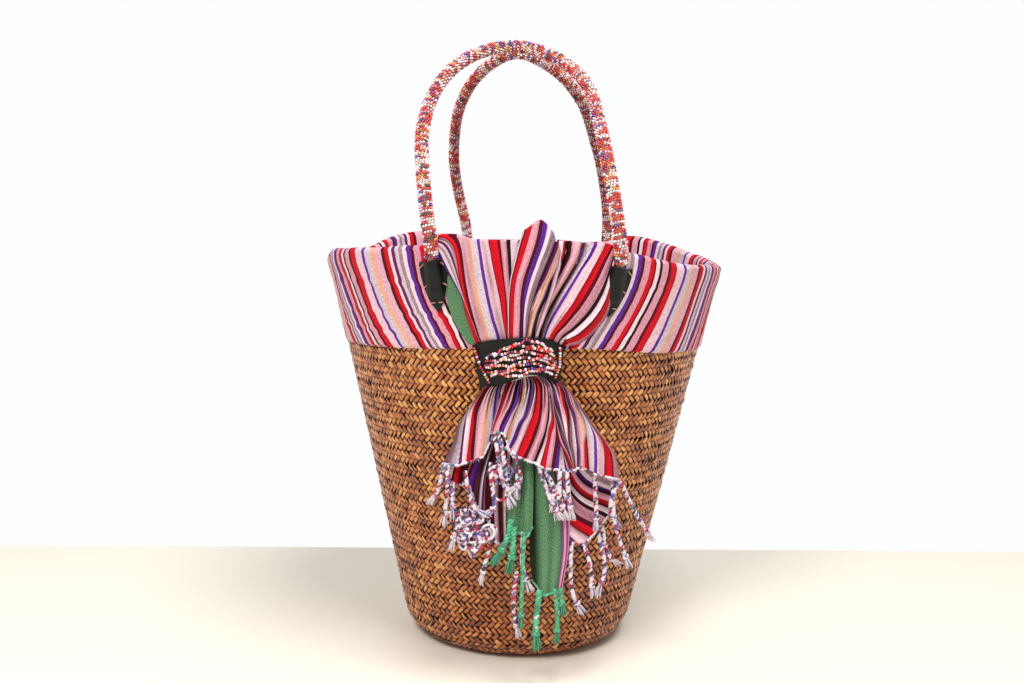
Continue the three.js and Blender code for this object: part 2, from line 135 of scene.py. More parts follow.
class Finish:
    """A material, or a world that is handed in, whose nodes are added one call at a time."""

    def __init__(self, name, world=None):
        self.material = world or bpy.data.materials.new(name)
        self.material.use_nodes = True
        self.tree = self.material.node_tree
        self.tree.nodes.clear()

    def node(self, kind, settings=None, sockets=None, out=0):
        node = self.tree.nodes.new(kind)
        for key, value in (settings or {}).items():
            if key == "stops":
                self.set_stops(node.color_ramp, value)
            else:
                setattr(node, key, value)
        for key, value in (sockets or {}).items():
            if isinstance(value, Wire):
                self.tree.links.new(value.socket, node.inputs[key])
            else:
                node.inputs[key].default_value = value
        return Wire(self, node.outputs[out])

    @staticmethod
    def set_stops(ramp, stops):
        """stops is (interpolation, [(position, colour), ...])."""
        ramp.interpolation, places = stops
        while len(ramp.elements) < len(places):
            ramp.elements.new(1.0)
        for element, (position, colour) in zip(ramp.elements, places):
            element.position = position
            element.color = colour

    def stored(self, name):
        """A number that was stored on the mesh."""
        return self.node("ShaderNodeAttribute", {"attribute_name": name}, out=2)

    def place(self):
        """Where the point is, in the object's own coordinates, which are metres in the bag's frame."""
        return self.node("ShaderNodeTexCoord", out=3)

    def noise(self, where, scale, detail=2.0):
        return self.node("ShaderNodeTexNoise", None, {"Vector": where, "Scale": scale, "Detail": detail})

    def pair(self, x, y, z=0.0):
        return self.node("ShaderNodeCombineXYZ", None, {"X": x, "Y": y, "Z": z})

    def blend(self, amount, first, second, how="MIX"):
        settings = {"data_type": "RGBA", "blend_type": how}
        return self.node("ShaderNodeMix", settings, {0: amount, 6: first, 7: second}, out=2)

    def ramp(self, value, *places, interpolation="LINEAR"):
        return self.node("ShaderNodeValToRGB", {"stops": (interpolation, places)}, {"Fac": value})

    def bump(self, height, strength, distance):
        sockets = {"Height": height, "Strength": strength, "Distance": distance}
        return self.node("ShaderNodeBump", None, sockets)

    def done(self, **sockets):
        """Closes the material with one Principled shader. Keyword names have _ for a space."""
        named = {key.replace("_", " "): value for key, value in sockets.items()}
        self.close("ShaderNodeOutputMaterial", self.node("ShaderNodeBsdfPrincipled", None, named))
        return self.material

    def close(self, kind, shader):
        """Joins a shader to a new output node of this kind."""
        self.tree.links.new(shader.socket, self.tree.nodes.new(kind).inputs["Surface"])


# %% [markdown]
# ## The studio
#
# The photo has a white wall close behind the bag and a pale table. A lamp that shines on the wall
# would also wash out the bag, so the white comes from the world, only for rays that the camera,
# glass or a glossy surface sends out. The light that reaches the bag is a softer world and two lamps.

# %% The world
world = bpy.data.worlds.new("studio")
bpy.context.scene.world = world
bpy.context.scene.view_settings.view_transform = "Standard"
sky = Finish("studio", world)


def sent_by(ray):
    return sky.node("ShaderNodeLightPath", out=f"Is {ray} Ray")


def glow(colour, strength):
    return sky.node("ShaderNodeBackground", None, {"Color": colour, "Strength": strength})


seen = sent_by("Camera").or_more(sent_by("Transmission").or_more(sent_by("Glossy")))
soft, white = glow((0.95, 0.98, 1.0, 1), 0.37), glow((0.985, 0.99, 1.0, 1), 1.0)
sky.close("ShaderNodeOutputWorld", sky.node("ShaderNodeMixShader", None, {0: seen, 1: soft, 2: white}))
print("world of", len(sky.tree.nodes), "nodes")


# %% Lamps and table
def lamp(name, place, target, width, watts):
    light = bpy.data.lights.new(name, "AREA")
    light.shape = "DISK"
    light.size = width
    light.energy = watts
    holder = bpy.data.objects.new(name, light)
    bpy.context.collection.objects.link(holder)
    holder.location = place
    holder.rotation_euler = (Vector(target) - Vector(place)).to_track_quat("-Z", "Y").to_euler()


lamp("window", (-0.6, -1.55, 1.75), (0, 0, 0.2), 0.7, 29)
lamp("ceiling", (0.5, -0.8, 2.0), (0, 0, 0.2), 1.0, 28)

table = bpy.data.meshes.new("table")
BACK_EDGE, EDGE_TURN = 0.2461, 0.0911
HALF_WIDE, NEAR_EDGE = 3, -2.5
corners = [(-HALF_WIDE, NEAR_EDGE, 0), (HALF_WIDE, NEAR_EDGE, 0)]
corners += [(x, BACK_EDGE + x * EDGE_TURN, 0) for x in (HALF_WIDE, -HALF_WIDE)]
table.from_pydata(corners, [], [(0, 1, 2, 3)])
table = bpy.data.objects.new("table", table)
bpy.context.collection.objects.link(table)
wood = Finish("pale_table")
table.data.materials.append(wood.done(Base_Color=paint(250, 243, 228), Roughness=0.6))

# %% [markdown]
# ## Meshes from arrays
#
# Everything on this bag repeats: cells of plait, beads, threads. Such pieces are quickest as numpy
# arrays of points in millimetres, turned into one mesh at the end. Numbers such as the place across
# a stripe or a bead's colour are stored on the points as attributes, for the materials to read.
# A map named OFBake says how the surface is laid flat, so that each small cell keeps its own patch.

# %% From arrays to an object
def piece(name, points, faces, body, slot, material, stored=None, chart=None):
    """An object of the bag, of points in mm. Each may store numbers, and its flat place in chart."""
    points = np.asarray(points, float).reshape(-1, 3)
    mesh = bpy.data.meshes.new(name)
    mesh.from_pydata((points * 0.001).tolist(), [], [list(face) for face in faces])
    mesh.shade_smooth()
    for key, values in (stored or {}).items():
        flat = np.broadcast_to(values, len(points)) if np.ndim(values) == 0 else np.ravel(values)
        mesh.attributes.new(key, "FLOAT", "POINT").data.foreach_set("value", flat.astype(np.float32))
    if chart is not None:
        corners = np.zeros(len(mesh.loops), int)
        mesh.loops.foreach_get("vertex_index", corners)
        flat = np.asarray(chart, np.float32).reshape(-1, 2)[corners]
        mesh.uv_layers.new(name="OFBake").data.foreach_set("uv", flat.ravel())
    mesh.materials.append(material)
    thing = bpy.data.objects.new(name, mesh)
    bpy.context.collection.objects.link(thing)
    if body:
        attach(thing, body)
    print(name, len(points), "points", len(faces), "faces")
    return thing


def grid(rows, cols, closed=False):
    """Faces of a grid of (rows + 1) by (cols + 1) points, or of cols points round when closed."""
    across = cols if closed else cols + 1
    first = np.arange(rows)[:, None] * across
    here = np.arange(cols)[None, :]
    beside = (here + 1) % across
    corners = [first + here, first + beside, first + across + beside, first + across + here]
    return np.stack([np.broadcast_to(c, (rows, cols)) for c in corners], -1).reshape(-1, 4)


def copies(faces, count, size):
    """The same faces for each of count copies that have size points each."""
    shifted = np.asarray(faces)[None] + (np.arange(count) * size)[:, None, None]
    return shifted.reshape(-1, np.shape(faces)[1])


def patches(count, rows, cols):
    """A flat place for each point of count small grids, laid out side by side in a square."""
    side = math.ceil(math.sqrt(count))
    v, u = np.meshgrid(np.linspace(0.06, 0.94, rows), np.linspace(0.06, 0.94, cols), indexing="ij")
    cell = np.arange(count)
    u = (cell[:, None] % side + u.ravel()[None]) / side
    v = (cell[:, None] // side + v.ravel()[None]) / side
    return np.stack([u, v], -1)


def whole(rows, cols):
    """A flat place for each point of one grid."""
    v, u = np.meshgrid(np.linspace(0.01, 0.99, rows), np.linspace(0.01, 0.99, cols), indexing="ij")
    return np.stack([u, v], -1)


def smooth(points, count):
    """A smooth curve through points, or through rows of points, as count + 1 of them."""
    points = np.asarray(points, float)
    ends = np.concatenate([[2 * points[0] - points[1]], points, [2 * points[-1] - points[-2]]])
    t = np.linspace(0, len(points) - 1, count + 1)
    k = np.minimum(t.astype(int), len(points) - 2)
    f = (t - k).reshape(-1, *[1] * (points.ndim - 1))
    a, b, c, d = (ends[k + i] for i in range(4))
    return b + 0.5 * f * (c - a + f * (2 * a - 5 * b + 4 * c - d + f * (3 * (b - c) + d - a)))


def run_along(line):
    """The distance along a line at each of its points."""
    return np.concatenate([[0], np.cumsum(np.linalg.norm(np.diff(line, axis=0), axis=1))])


def picked(at, run, rows):
    """Rows between the given ones, at distances along the line that they belong to."""
    return np.stack([np.interp(at, run, rows[:, i]) for i in range(rows.shape[1])], 1)


def even(points, count):
    """The same curve with its points an equal distance apart."""
    fine = smooth(points, 8 * len(points))
    run = run_along(fine)
    return picked(np.linspace(0, run[-1], count + 1), run, fine)


def eased(share):
    """From 0 to 1 with a soft start and a soft end."""
    return share * share * (3 - 2 * share)


# %% [markdown]
# ## The basket's own surfaces
#
# The wall is a cone that leans out from a rounded heel, and the rim dips at the sides. Every piece
# that lies on the wall is placed with the few functions below, so they all agree.

# %% Wall, rim and heel
BASE_FLAT, HEEL, LEAN, PALM = 74.0, 29.0, math.radians(12.68), 4.5
CLOTH_OFF = 2.2
HEEL_TOP = HEEL * (1 - math.sin(LEAN))


def wall_radius(z):
    return BASE_FLAT + HEEL * math.cos(LEAN) + math.tan(LEAN) * (z - HEEL_TOP)


RIM_SIDE, RIM_FRONT, RIM_BACK = 336, 351, 361

# Waves of the rim, in degrees from the front towards the right and in mm.
RIM_WAVES = np.array([
    (-180, -8), (-165, -8.5), (-156, -7.5), (-149, 0), (-143, 4), (-137, 4.8), (-131, 3.5), (-124, 0),
    (-117, -3), (-100, -1), (-78, 0), (-66, 3), (-49, 1), (-25, -1), (22, -1), (27, -2),
    (33, -3.5), (38, -5), (46, -6.5), (56, -5), (66, -3.5), (80, -3), (97, -1), (112, -1),
    (123, 1), (132, 2.7), (139, 3.2), (146, 2.5), (153, -6), (160, -8.5), (180, -8),
])


def rim_height(angle):
    c = np.cos(angle)
    turned = (np.degrees(angle) + 180) % 360 - 180
    front = RIM_SIDE + (RIM_FRONT - RIM_SIDE) * c * c
    back = RIM_SIDE + (RIM_BACK - RIM_SIDE) * np.abs(c) ** 1.3
    return np.where(c > 0, front, back) + np.interp(turned, RIM_WAVES[:, 0], RIM_WAVES[:, 1])


def round_axis(x, z, reach):
    """Points at the front, from their x and height and their distance from the bag's axis."""
    x, z, reach = np.broadcast_arrays(x, z, reach)
    return np.stack([x, -np.sqrt(np.maximum(reach * reach - x * x, 0)), z], -1)


def onto_wall(x, z, off):
    """Points at the front, from their x and height and their distance off the wall."""
    return round_axis(x, z, wall_radius(z) + off)


def round_wall(angle, z, off):
    """Points all round, from their angle from the front, height and distance off the wall."""
    angle, z, off = np.broadcast_arrays(angle, z, off)
    reach = wall_radius(z) + off
    return np.stack([reach * np.sin(angle), -reach * np.cos(angle), z], -1)


print("rim radius", round(wall_radius(RIM_FRONT), 1), "heel top", round(HEEL_TOP, 1))

# %% [markdown]
# ## Palm leaf
#
# The strips are varnished leaf, brown to golden, each with its own tone, fine fibres along it and a
# gloss. The tone is stored per cell and follows the strip from cell to cell. Fibres are a noise that
# is stretched along the strip by using the stored places along and across it. Each cell's rim, where
# it dips under its neighbours, is darkened as painted shade, and the wall is painted lighter higher up
# and darker towards the bottom, as painted shade. A core in the middle of the wall's thickness is
# painted dark brown, as painted shade, and shows in the gaps between the strips.

# %% Palm finishes
def palm_finish(name, dark, middle, light, rough):
    palm = Finish(name)
    tone, along, across, edge = (palm.stored(key) for key in ("tone", "along", "across", "edge"))
    fibre = palm.noise(palm.pair(along * 0.12, across * 2.2, tone * 40), 1.0, 3.0)
    blotch = palm.noise(palm.place(), 55.0, 3.0)
    # up is the height: it paints the wall lighter higher up and darker towards the bottom, as painted shade.
    up = palm.node("ShaderNodeSeparateXYZ", None, {"Vector": palm.place()}, out=2)
    # edge * 0.95 is painted shade on each cell's rim, where the cell dips under its neighbours.
    shade = tone * 0.65 + fibre * 0.6 + blotch * 0.5 + up * 0.5 - edge * 0.95 - 0.41
    colour = palm.ramp(shade, (0.0, dark), (0.5, middle), (1.0, light))
    height = fibre * 0.6 + palm.noise(palm.place(), 900.0) * 0.4
    return palm.done(Base_Color=colour, Roughness=rough + fibre * 0.22, Specular_IOR_Level=0.45,
                     Coat_Weight=0.38, Coat_Roughness=0.06, Normal=palm.bump(height, 0.35, 0.0004))


outside_palm = palm_finish("varnished_palm", paint(70, 22, 2), paint(182, 94, 12), paint(246, 184, 100), 0.19)
inside_palm = palm_finish("inside_palm", paint(120, 66, 26), paint(170, 112, 60), paint(205, 155, 98), 0.42)

# The core's finish is painted shade: dark brown, as the gaps between the strips look in shadow.
shade = Finish("palm_shadow")
grain = shade.noise(shade.place(), 240.0, 3.0)
shade_colour = shade.ramp(grain, (0.3, paint(20, 7, 3)), (0.75, paint(46, 18, 7)))
palm_shadow = shade.done(Base_Color=shade_colour, Roughness=0.8, Normal=shade.bump(grain, 0.4, 0.0006))

# %% [markdown]
# ## The plait
#
# The palm leaf is plaited as a twill on the slant: every strip goes over two and under two, so each
# course round the basket shows short slanting cells, leaning left in one course and right in the
# next. A texture could show that, but not the shadows between strips, so each cell is a small curved
# patch of its own: raised in the middle, and dipping at its ends under the cells above and below.
# The wall widens upwards, so the number of strips round it grows in steps, as the maker adds strips.

# %% The cells of the plait
STRIP = 3.85
PITCH = STRIP * math.sqrt(2)
ACROSS = np.array([-1.0, -0.66, 0.66, 1.0])
ALONG = np.array([-1.0, -0.62, 0.0, 0.62, 1.0])
ACROSS_HEIGHT = np.array([-0.75, 0.0, 0.0, -0.75])
ALONG_HEIGHT = np.array([-0.85, 0.4, 0.8, 0.4, -0.85])
# For each point of a cell: how high it is raised, and its place along and across.
RAISED = (ALONG_HEIGHT[:, None] + ACROSS_HEIGHT[None]).ravel()[None]
A, B = (g.ravel()[None] for g in np.meshgrid(ALONG, ACROSS, indexing="ij"))
SUNK = 0.45
TABLE_GAP = 0.1
# So many courses have the same number of strips.
ZONE = 8
# Between one cell's stored places and the next one's, so that no two have the same fibres.
NEXT_ALONG, NEXT_ACROSS = 37.0, 11.0
HEEL_COURSES, WALL_COURSES, INNER_COURSES = range(1, 26), range(26, 55), range(1, 56)


def plaited(name, points, side, material, tone, along, across):
    """One mesh of cells, whose rows of points are given. Side is 1 on the outside, -1 on the inside."""
    faces = copies(grid(len(ALONG) - 1, len(ACROSS) - 1), *points.shape[:2])
    faces = faces if side > 0 else faces[:, ::-1]
    # edge marks each cell's rim, which the palm finishes darken as painted shade.
    edge = np.broadcast_to(np.maximum(np.abs(A) > 0.9, np.abs(B) > 0.9), along.shape)
    stored = dict(tone=np.broadcast_to(tone, along.shape), along=along, across=across, edge=edge)
    chart = patches(len(points), len(ALONG), len(ACROSS))
    return piece(name, points, faces, "bag", "palm_leaf", material, stored, chart)


def heel_and_wall(run):
    """Radius, height and outward direction at a distance up the outside from the flat of the base."""
    turn = math.pi / 2 - LEAN
    a = np.minimum(run / HEEL, turn) - math.pi / 2
    up = np.maximum(run - turn * HEEL, 0)
    radius = BASE_FLAT + HEEL * np.cos(a) + up * math.sin(LEAN)
    return radius, HEEL + HEEL * np.sin(a) + up * math.cos(LEAN), np.cos(a), np.sin(a)


def plait_rows(name, rows, path, side, lift, seed, material):
    """Courses of cells round the basket. path gives radius, height and direction at each course."""
    rng = np.random.default_rng(seed)
    points, tones, alongs, acrosses = [], [], [], []
    for k in rows:
        zone = (k // ZONE) * ZONE + ZONE // 2
        count = int(round(2 * math.pi * float(path(zone * PITCH)[0]) / PITCH))
        j = np.arange(count)
        way = 1 if k % 2 else -1
        strips = np.random.default_rng(seed + zone + way).random(count)
        tone = 0.55 * strips[(j - way * k) % count] + 0.45 * rng.random(count)
        width = STRIP * rng.uniform(0.86, 0.99, count)[:, None] / 2
        length = STRIP * rng.uniform(1.06, 1.16, count)[:, None]
        tilt = rng.normal(0, 0.42, count)[:, None]
        spin = rng.normal(0, 0.05, count)[:, None]
        p, q = A * length, B * width
        p, q = p - spin * q, q + spin * p
        across = (way * p + q) / math.sqrt(2)
        up = (p - way * q) / math.sqrt(2)
        angle = (j[:, None] + 0.5 * (k % 2)) * 2 * math.pi / count
        sway = 0.5 * np.sin(3 * angle + 0.21 * k) + 0.35 * np.sin(7 * angle + k * 0.13)
        run = np.maximum(k * PITCH + up + sway + rng.normal(0, 0.12, count)[:, None], 0.5)
        radius, height, out, rise = path(run)
        stretch = 2 * math.pi * radius / count / PITCH
        angle = angle + across * stretch / radius + rng.normal(0, 0.18, count)[:, None] / radius
        high = lift * (RAISED + tilt * B + rng.normal(0, 0.1, count)[:, None] - SUNK)
        reach = radius + side * high * out
        above_table = np.maximum(height + side * high * rise, TABLE_GAP)
        points.append(np.stack([reach * np.sin(angle), -reach * np.cos(angle), above_table], -1))
        tones.append(np.broadcast_to(tone[:, None], p.shape))
        alongs.append(p + NEXT_ALONG * j[:, None])
        acrosses.append(q + NEXT_ACROSS * k)
    tones, alongs, acrosses = (np.concatenate(values) for values in (tones, alongs, acrosses))
    return plaited(name, np.concatenate(points), side, material, tones, alongs, acrosses)


plait_rows("plait_foot", HEEL_COURSES, heel_and_wall, 1, 1.0, 3, outside_palm)
plait_rows("plait_upper", WALL_COURSES, heel_and_wall, 1, 1.0, 4, outside_palm)


# %% The plait inside and underneath
def inner_wall(run):
    """The same path on the inside of the wall and round the inside of the heel."""
    radius, height, out, rise = heel_and_wall(run)
    return radius - PALM * out, height - PALM * rise, out, rise


plait_rows("plait_inside", INNER_COURSES, inner_wall, -1, 0.7, 5, inside_palm)


def plait_disc(name, radius, height, side, lift, seed, material):
    """The flat of the base: the same twill as a square lattice."""
    rng = np.random.default_rng(seed)
    reach = int(radius / PITCH) + 2
    row, col = (g.ravel() for g in np.meshgrid(np.arange(-reach, reach + 1), np.arange(-reach, reach + 1)))
    way = np.where(row % 2, 1, -1)[:, None]
    x = ((col + 0.5 * (row % 2)) * PITCH)[:, None]
    y = (row * PITCH)[:, None]
    near = (np.hypot(x, y) < radius).ravel()
    way, x, y, row, col = way[near], x[near], y[near], row[near], col[near]
    count = len(x)
    p, q = A * STRIP * 1.1, B * STRIP * rng.uniform(0.84, 0.96, count)[:, None] / 2
    x = x + (way * p + q) / math.sqrt(2)
    y = y + (p - way * q) / math.sqrt(2)
    tilt = rng.normal(0, 0.14, count)[:, None]
    z = np.maximum(height + side * lift * (RAISED + tilt * B), TABLE_GAP)
    tone = rng.random(count)[:, None]
    along, across = p + NEXT_ALONG * col[:, None], q + NEXT_ACROSS * row[:, None]
    return plaited(name, np.stack([x, y, z], -1), side, material, tone, along, across)


plait_disc("plait_floor", 79.0, PALM - 0.4, 1, 0.7, 6, inside_palm)
plait_disc("plait_underside", 74.0, 0.6, -1, 0.6, 7, outside_palm)

# %% The core between the two faces
SIDES = 128
HEEL_RUN, WALL_RUNS = 40, [150, 270, 335]
runs = np.concatenate([np.linspace(0, HEEL_RUN, 14), WALL_RUNS])
radius, height, out, rise = heel_and_wall(runs)
half = PALM / 2
core_radius = np.concatenate([[1.0, 40.0], radius - half * out])[:, None]
core_height = np.concatenate([[half, half], height - half * rise])[:, None]
turn = np.linspace(0, 2 * math.pi, SIDES, endpoint=False)
core = np.stack([core_radius * np.sin(turn), -core_radius * np.cos(turn), core_height + 0 * turn], -1)
wall_core = piece("palm_core", core, grid(len(core) - 1, SIDES, closed=True), "bag", "palm_leaf", palm_shadow)
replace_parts(wall_core, "basket_wall", "basket_base")

# %% [markdown]
# ## Striped cotton
#
# The shawl is hand woven, with narrow stripes that repeat about every 103 mm. Each cloth mesh stores
# how far across the stripes and how far along them a point is, in mm. The material takes the first
# number's place in the repeat and looks it up in a ramp with hard steps, so the stripes stay sharp
# through every fold. Fine waves and noises in both numbers give the yarns, the flecks and the bump. A
# third number, how deep the point lies below the folds beside it, darkens the valleys as painted shade.

# %% The repeat of the stripes
PINK, PALE, LILAC = (216, 150, 166), (234, 192, 202), (222, 168, 182)
RED, MAROON, BLACK = (208, 4, 26), (84, 4, 22), (34, 5, 12)
VIOLET, PLUM, PEACH = (92, 42, 150), (98, 30, 92), (240, 166, 126)
GREY, TAUPE, WHITE = (208, 188, 198), (160, 130, 140), (238, 210, 218)
STRIPES = [
    (6.5, PINK), (3.3, MAROON), (6.0, RED), (1.0, MAROON), (9.5, PALE), (3.7, VIOLET), (8.5, GREY),
    (4.0, PEACH), (8.5, LILAC), (3.6, MAROON), (4.8, RED), (3.0, WHITE), (3.9, PLUM), (3.3, GREY),
    (3.7, TAUPE), (3.6, WHITE), (4.1, VIOLET), (2.7, MAROON), (6.3, PINK), (4.4, RED), (1.5, MAROON),
    (4.0, WHITE), (3.0, BLACK),
]
REPEAT = sum(width for width, colour in STRIPES)
starts = np.cumsum([0.0] + [width for width, colour in STRIPES[:-1]]) / REPEAT
stripe_stops = [(float(start), paint(*colour)) for start, (width, colour) in zip(starts, STRIPES)]
print("stripes", len(STRIPES), "repeat", round(REPEAT, 1), "mm")


def striped_finish(name):
    cotton = Finish(name)
    stripe, thread = cotton.stored("stripe"), cotton.stored("thread")
    wobble = cotton.noise(cotton.pair(stripe * 0.03, thread * 0.06), 1.0)
    across = stripe + (wobble - 0.5) * 1.1
    colour = cotton.ramp((across / REPEAT).fraction(), *stripe_stops, interpolation="CONSTANT")
    yarn = cotton.noise(cotton.pair(stripe * 0.9, thread * 0.5), 1.0, 2.0)
    fleck = cotton.noise(cotton.pair(stripe * 1.2, thread * 1.5), 1.0, 1.0)
    dark, light = (0.2, 0.17, 0.18, 1), (0.88, 0.88, 0.88, 1)
    grain = cotton.ramp(yarn * 0.55 + fleck * 0.45, (0.34, dark), (0.66, light))
    flecked = cotton.blend(0.75, colour, grain, "OVERLAY")
    # Painted shade in the folds: the deeper a point lies below the folds beside it, the more its colour is
    # multiplied by a dark maroon.
    fold_shaded = cotton.blend((cotton.stored("hollow") * 0.4).clamped(), flecked, paint(96, 44, 60), "MULTIPLY")
    ridges = (stripe * (2 * math.pi / 0.8)).sine() * (thread * (2 * math.pi / 0.9)).sine()
    height = ridges * 0.35 + fleck
    return cotton.done(Base_Color=fold_shaded, Roughness=0.85, Sheen_Weight=0.04, Sheen_Roughness=0.5,
                       Specular_IOR_Level=0.15, Normal=cotton.bump(height, 0.3, 0.0005))


CLOTHS = {"striped_cloth": striped_finish("striped_cotton")}


def cloth(name, points, body, slot, **stored):
    """A sheet of cloth from rows of points, with the numbers that its material reads."""
    rows, cols = points.shape[:2]
    return piece(name, points, grid(rows - 1, cols - 1), body, slot, CLOTHS[slot], stored, whole(rows, cols))


# %% [markdown]
# ## The collar
#
# The shawl is folded over the rim like a cuff: it lies flat on the wall outside, rolls over the edge
# and hangs a hand's width inside. It is one sheet of points, angle by row. Its stripes run straight
# down at first, then lean towards the keeper, because the cloth is pulled there, so the stored stripe
# number is shifted with the drop. Soft waves and small kinks show that it is cloth and not a tube.

# %% The way round the rim
AROUND = 720
CUFF_EDGE = 262
angle = np.linspace(0, 2 * math.pi, AROUND + 1)[:-1][None]
turned = (np.degrees(angle) + 180) % 360 - 180
rim = rim_height(angle)


def bell(value, middle, width):
    """1 at the middle, falling off softly over the width on both sides."""
    return np.exp(-((value - middle) / width) ** 2)


edge = CUFF_EDGE + 6 * np.cos(angle) ** 2
edge = edge + 3.7 * bell(turned, 18, 18) + 1.5 * bell(turned, -12, 12)
lean = np.where(turned > 0, 7.5 * bell(turned, 25, 60), -8.4 * bell(turned, -45, 58))
puff = 0.7 + 0.4 * np.sin(5 * angle + 1) + 0.3 * np.sin(11 * angle) + 0.25 * np.sin(23 * angle + 2)
print("cuff edge from", round(float(edge.min()), 1), "to", round(float(edge.max()), 1), "mm")

# %% The cuff outside, over the rim and inside
OUT_ROWS, ROLL_ROWS, IN_ROWS = 46, 9, 20
ROLL = 4
INSIDE = 71
outside = np.linspace(0, 1, OUT_ROWS)[:, None]
z_out = edge + (rim - ROLL - edge) * outside
drop = rim - z_out
creases = np.sin(2 * math.pi * (turned * 2.9 / 26 + 0.8 * np.sin(drop / 9)) + 0.8 * np.sin(drop / 5))
kink = sum(bell(z_out, z, 3.5) for z in (318, 294, 279))
waves = 0.35 * np.sin(17 * angle + drop / 30) + 0.25 * np.sin(31 * angle - drop / 17)
off_out = 1.9 + waves + 0.45 * kink * creases + puff * 0.9 * bell(drop, 9, 8)
off_out = off_out * np.clip((z_out - edge) / 1.5, 0.15, 1)
roll = np.linspace(0, math.pi, ROLL_ROWS + 2)[1:-1, None]
off_roll = -2.3 + (4.4 + 0.5 * puff) * np.cos(roll)
z_roll = rim - ROLL + (4.4 + 0.9 * puff) * np.sin(roll)
inside = np.linspace(0, 1, IN_ROWS)[:, None]
z_in = rim - ROLL - INSIDE * inside
off_in = -6.7 - 0.4 * puff - 0.5 * np.sin(19 * angle + z_in / 12) - 0.8 * inside
collar = round_wall(angle, np.concatenate([z_out, z_roll, z_in]), np.concatenate([off_out, off_roll, off_in]))
print("cuff of", len(collar), "rows")

# %% The cuff's stripes
# So many repeats of the stripes take so many degrees of the way round.
ROUND_REPEATS, ROUND_DEGREES = 8, 266.1
unmoved = np.zeros((ROLL_ROWS + IN_ROWS, AROUND))
collar_drop = np.concatenate([drop, unmoved])
pull = lean * (np.clip(collar_drop - 10, 0, None) / 62) ** 1.6
zigzag = np.concatenate([0.8 * kink * creases + 0.7 * np.sin(drop / 11 + 5 * angle), unmoved])
stripe = 12.8 + ((np.degrees(angle) + pull) - 43.7) * REPEAT * ROUND_REPEATS / ROUND_DEGREES + zigzag
thread = np.concatenate([-drop, ROLL * roll - ROLL + 0 * z_roll, 10 + INSIDE * inside + 0 * z_in])


def closed(rows, step=0):
    """The first column again at the end, so that the way round is whole."""
    return np.concatenate([rows, rows[:, :1] + step], 1)


stripes_round = ROUND_REPEATS * REPEAT * 360 / ROUND_DEGREES
shawl_collar = cloth("shawl_cuff", closed(collar), "bag", "striped_cloth",
                     stripe=closed(stripe, stripes_round), thread=closed(thread))
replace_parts(shawl_collar, "shawl_collar")

# %% [markdown]
# ## Draping a sheet by its threads
#
# The gathered front and the two tails are full of folds. A simulation could drop the cloth, but the
# folds would fall anywhere. Here the cloth is drawn by its own threads instead: each line below is
# one thread, with its number across the stripes, how high it stands on a fold from 0 to 1, and where
# it runs, from top to bottom, as x and height at the front of the bag. A smooth surface is laid
# through all of them, first along the threads and then across.

# %% A sheet laid through its threads
def drape(threads, rows, cols):
    """x, height, stripe, fold height and length along for each point of a smooth sheet."""
    lines = []
    for stripe, fold, route in threads:
        line = even(route, rows)
        lines.append(np.column_stack([line, np.full(len(line), stripe), np.full(len(line), fold)]))
    sheet = np.swapaxes(smooth(lines, cols), 0, 1)
    steps = np.linalg.norm(np.diff(sheet[..., :2], axis=0), axis=2).mean(1)
    run = np.concatenate([[0], np.cumsum(steps)])[:, None] + 0 * sheet[..., 0]
    return *np.moveaxis(sheet, 2, 0), run


# The cloth finishes darken each point by this depth, as painted shade in the folds.
def hollow(out, reach=6):
    """How deep each point lies below the folds within a few columns on both sides, in mm."""
    left, right = out.copy(), out.copy()
    for step in range(1, reach + 1):
        left[:, step:] = np.maximum(left[:, step:], out[:, :-step])
        right[:, :-step] = np.maximum(right[:, :-step], out[:, step:])
    return 0.5 * (left + right) - out


def wrinkle(shape, size, amount, seed):
    """Soft random dents over a sheet, about size points wide along and a quarter of that across."""
    rng = np.random.default_rng(seed)
    rough = rng.normal(0, 1, (shape[0] // size + 3, 4 * shape[1] // size + 3))
    soft = smooth(rough, shape[0] - 1)
    return amount * np.swapaxes(smooth(np.swapaxes(soft, 0, 1), shape[1] - 1), 0, 1)


HIDDEN_PLEAT = 15


def cloth_sheet(threads):
    """Measures a sheet along its threads and across its stripes, and keeps neither number.

    A step of over 15 mm of stripes is a pleat that is folded away behind the next one, and not drawn.
    """
    steps = [np.linalg.norm(np.diff(even(route, 30), axis=0), axis=1) for _, _, route in threads]
    across = np.abs(np.diff([stripe for stripe, _, _ in threads]))
    across = np.where(across > HIDDEN_PLEAT, 0, across) / 1000


# %% [markdown]
# ## The keeper's place
#
# The leather keeper is sewn flat to the bag at its two ends and stands off in the middle, where the
# shawl passes under it. Its upper edge is a shallow arch and its lower edge a deeper one, both read
# from the photo. A point on it is given by s, from -1 at the left to 1 at the right, and v, from 0
# at the upper edge to 1 at the lower one.

# %% The keeper's curve
KEEPER_UPPER = [(-34, 272.5), (-20, 277.5), (-6, 280), (9, 281), (23, 279.6), (37, 273)]
KEEPER_LOWER = [(-27.5, 238.5), (-17, 241), (-9, 244), (0, 248), (9, 251.6), (18, 251), (27, 247),
                (33.5, 242.5)]
KEEPER_EDGES = [even(edge, 100) for edge in (KEEPER_UPPER, KEEPER_LOWER)]


def keeper_spot(s, v):
    """x and height of a place on the keeper."""
    s, v = np.broadcast_arrays(np.asarray(s, float), np.asarray(v, float))
    share = (s + 1) * 50
    upper, lower = ([np.interp(share, np.arange(101), edge[:, i]) for i in (0, 1)] for edge in KEEPER_EDGES)
    return upper[0] + (lower[0] - upper[0]) * v, upper[1] + (lower[1] - upper[1]) * v


STANDS_OFF = 13


def keeper_lift(s):
    """How far the back of the leather stands off the wall."""
    return CLOTH_OFF + STANDS_OFF * np.clip(1 - s * s, 0, 1) ** 1.5


def on_keeper(s, v, off):
    return onto_wall(*keeper_spot(s, v), keeper_lift(np.asarray(s, float)) + off)


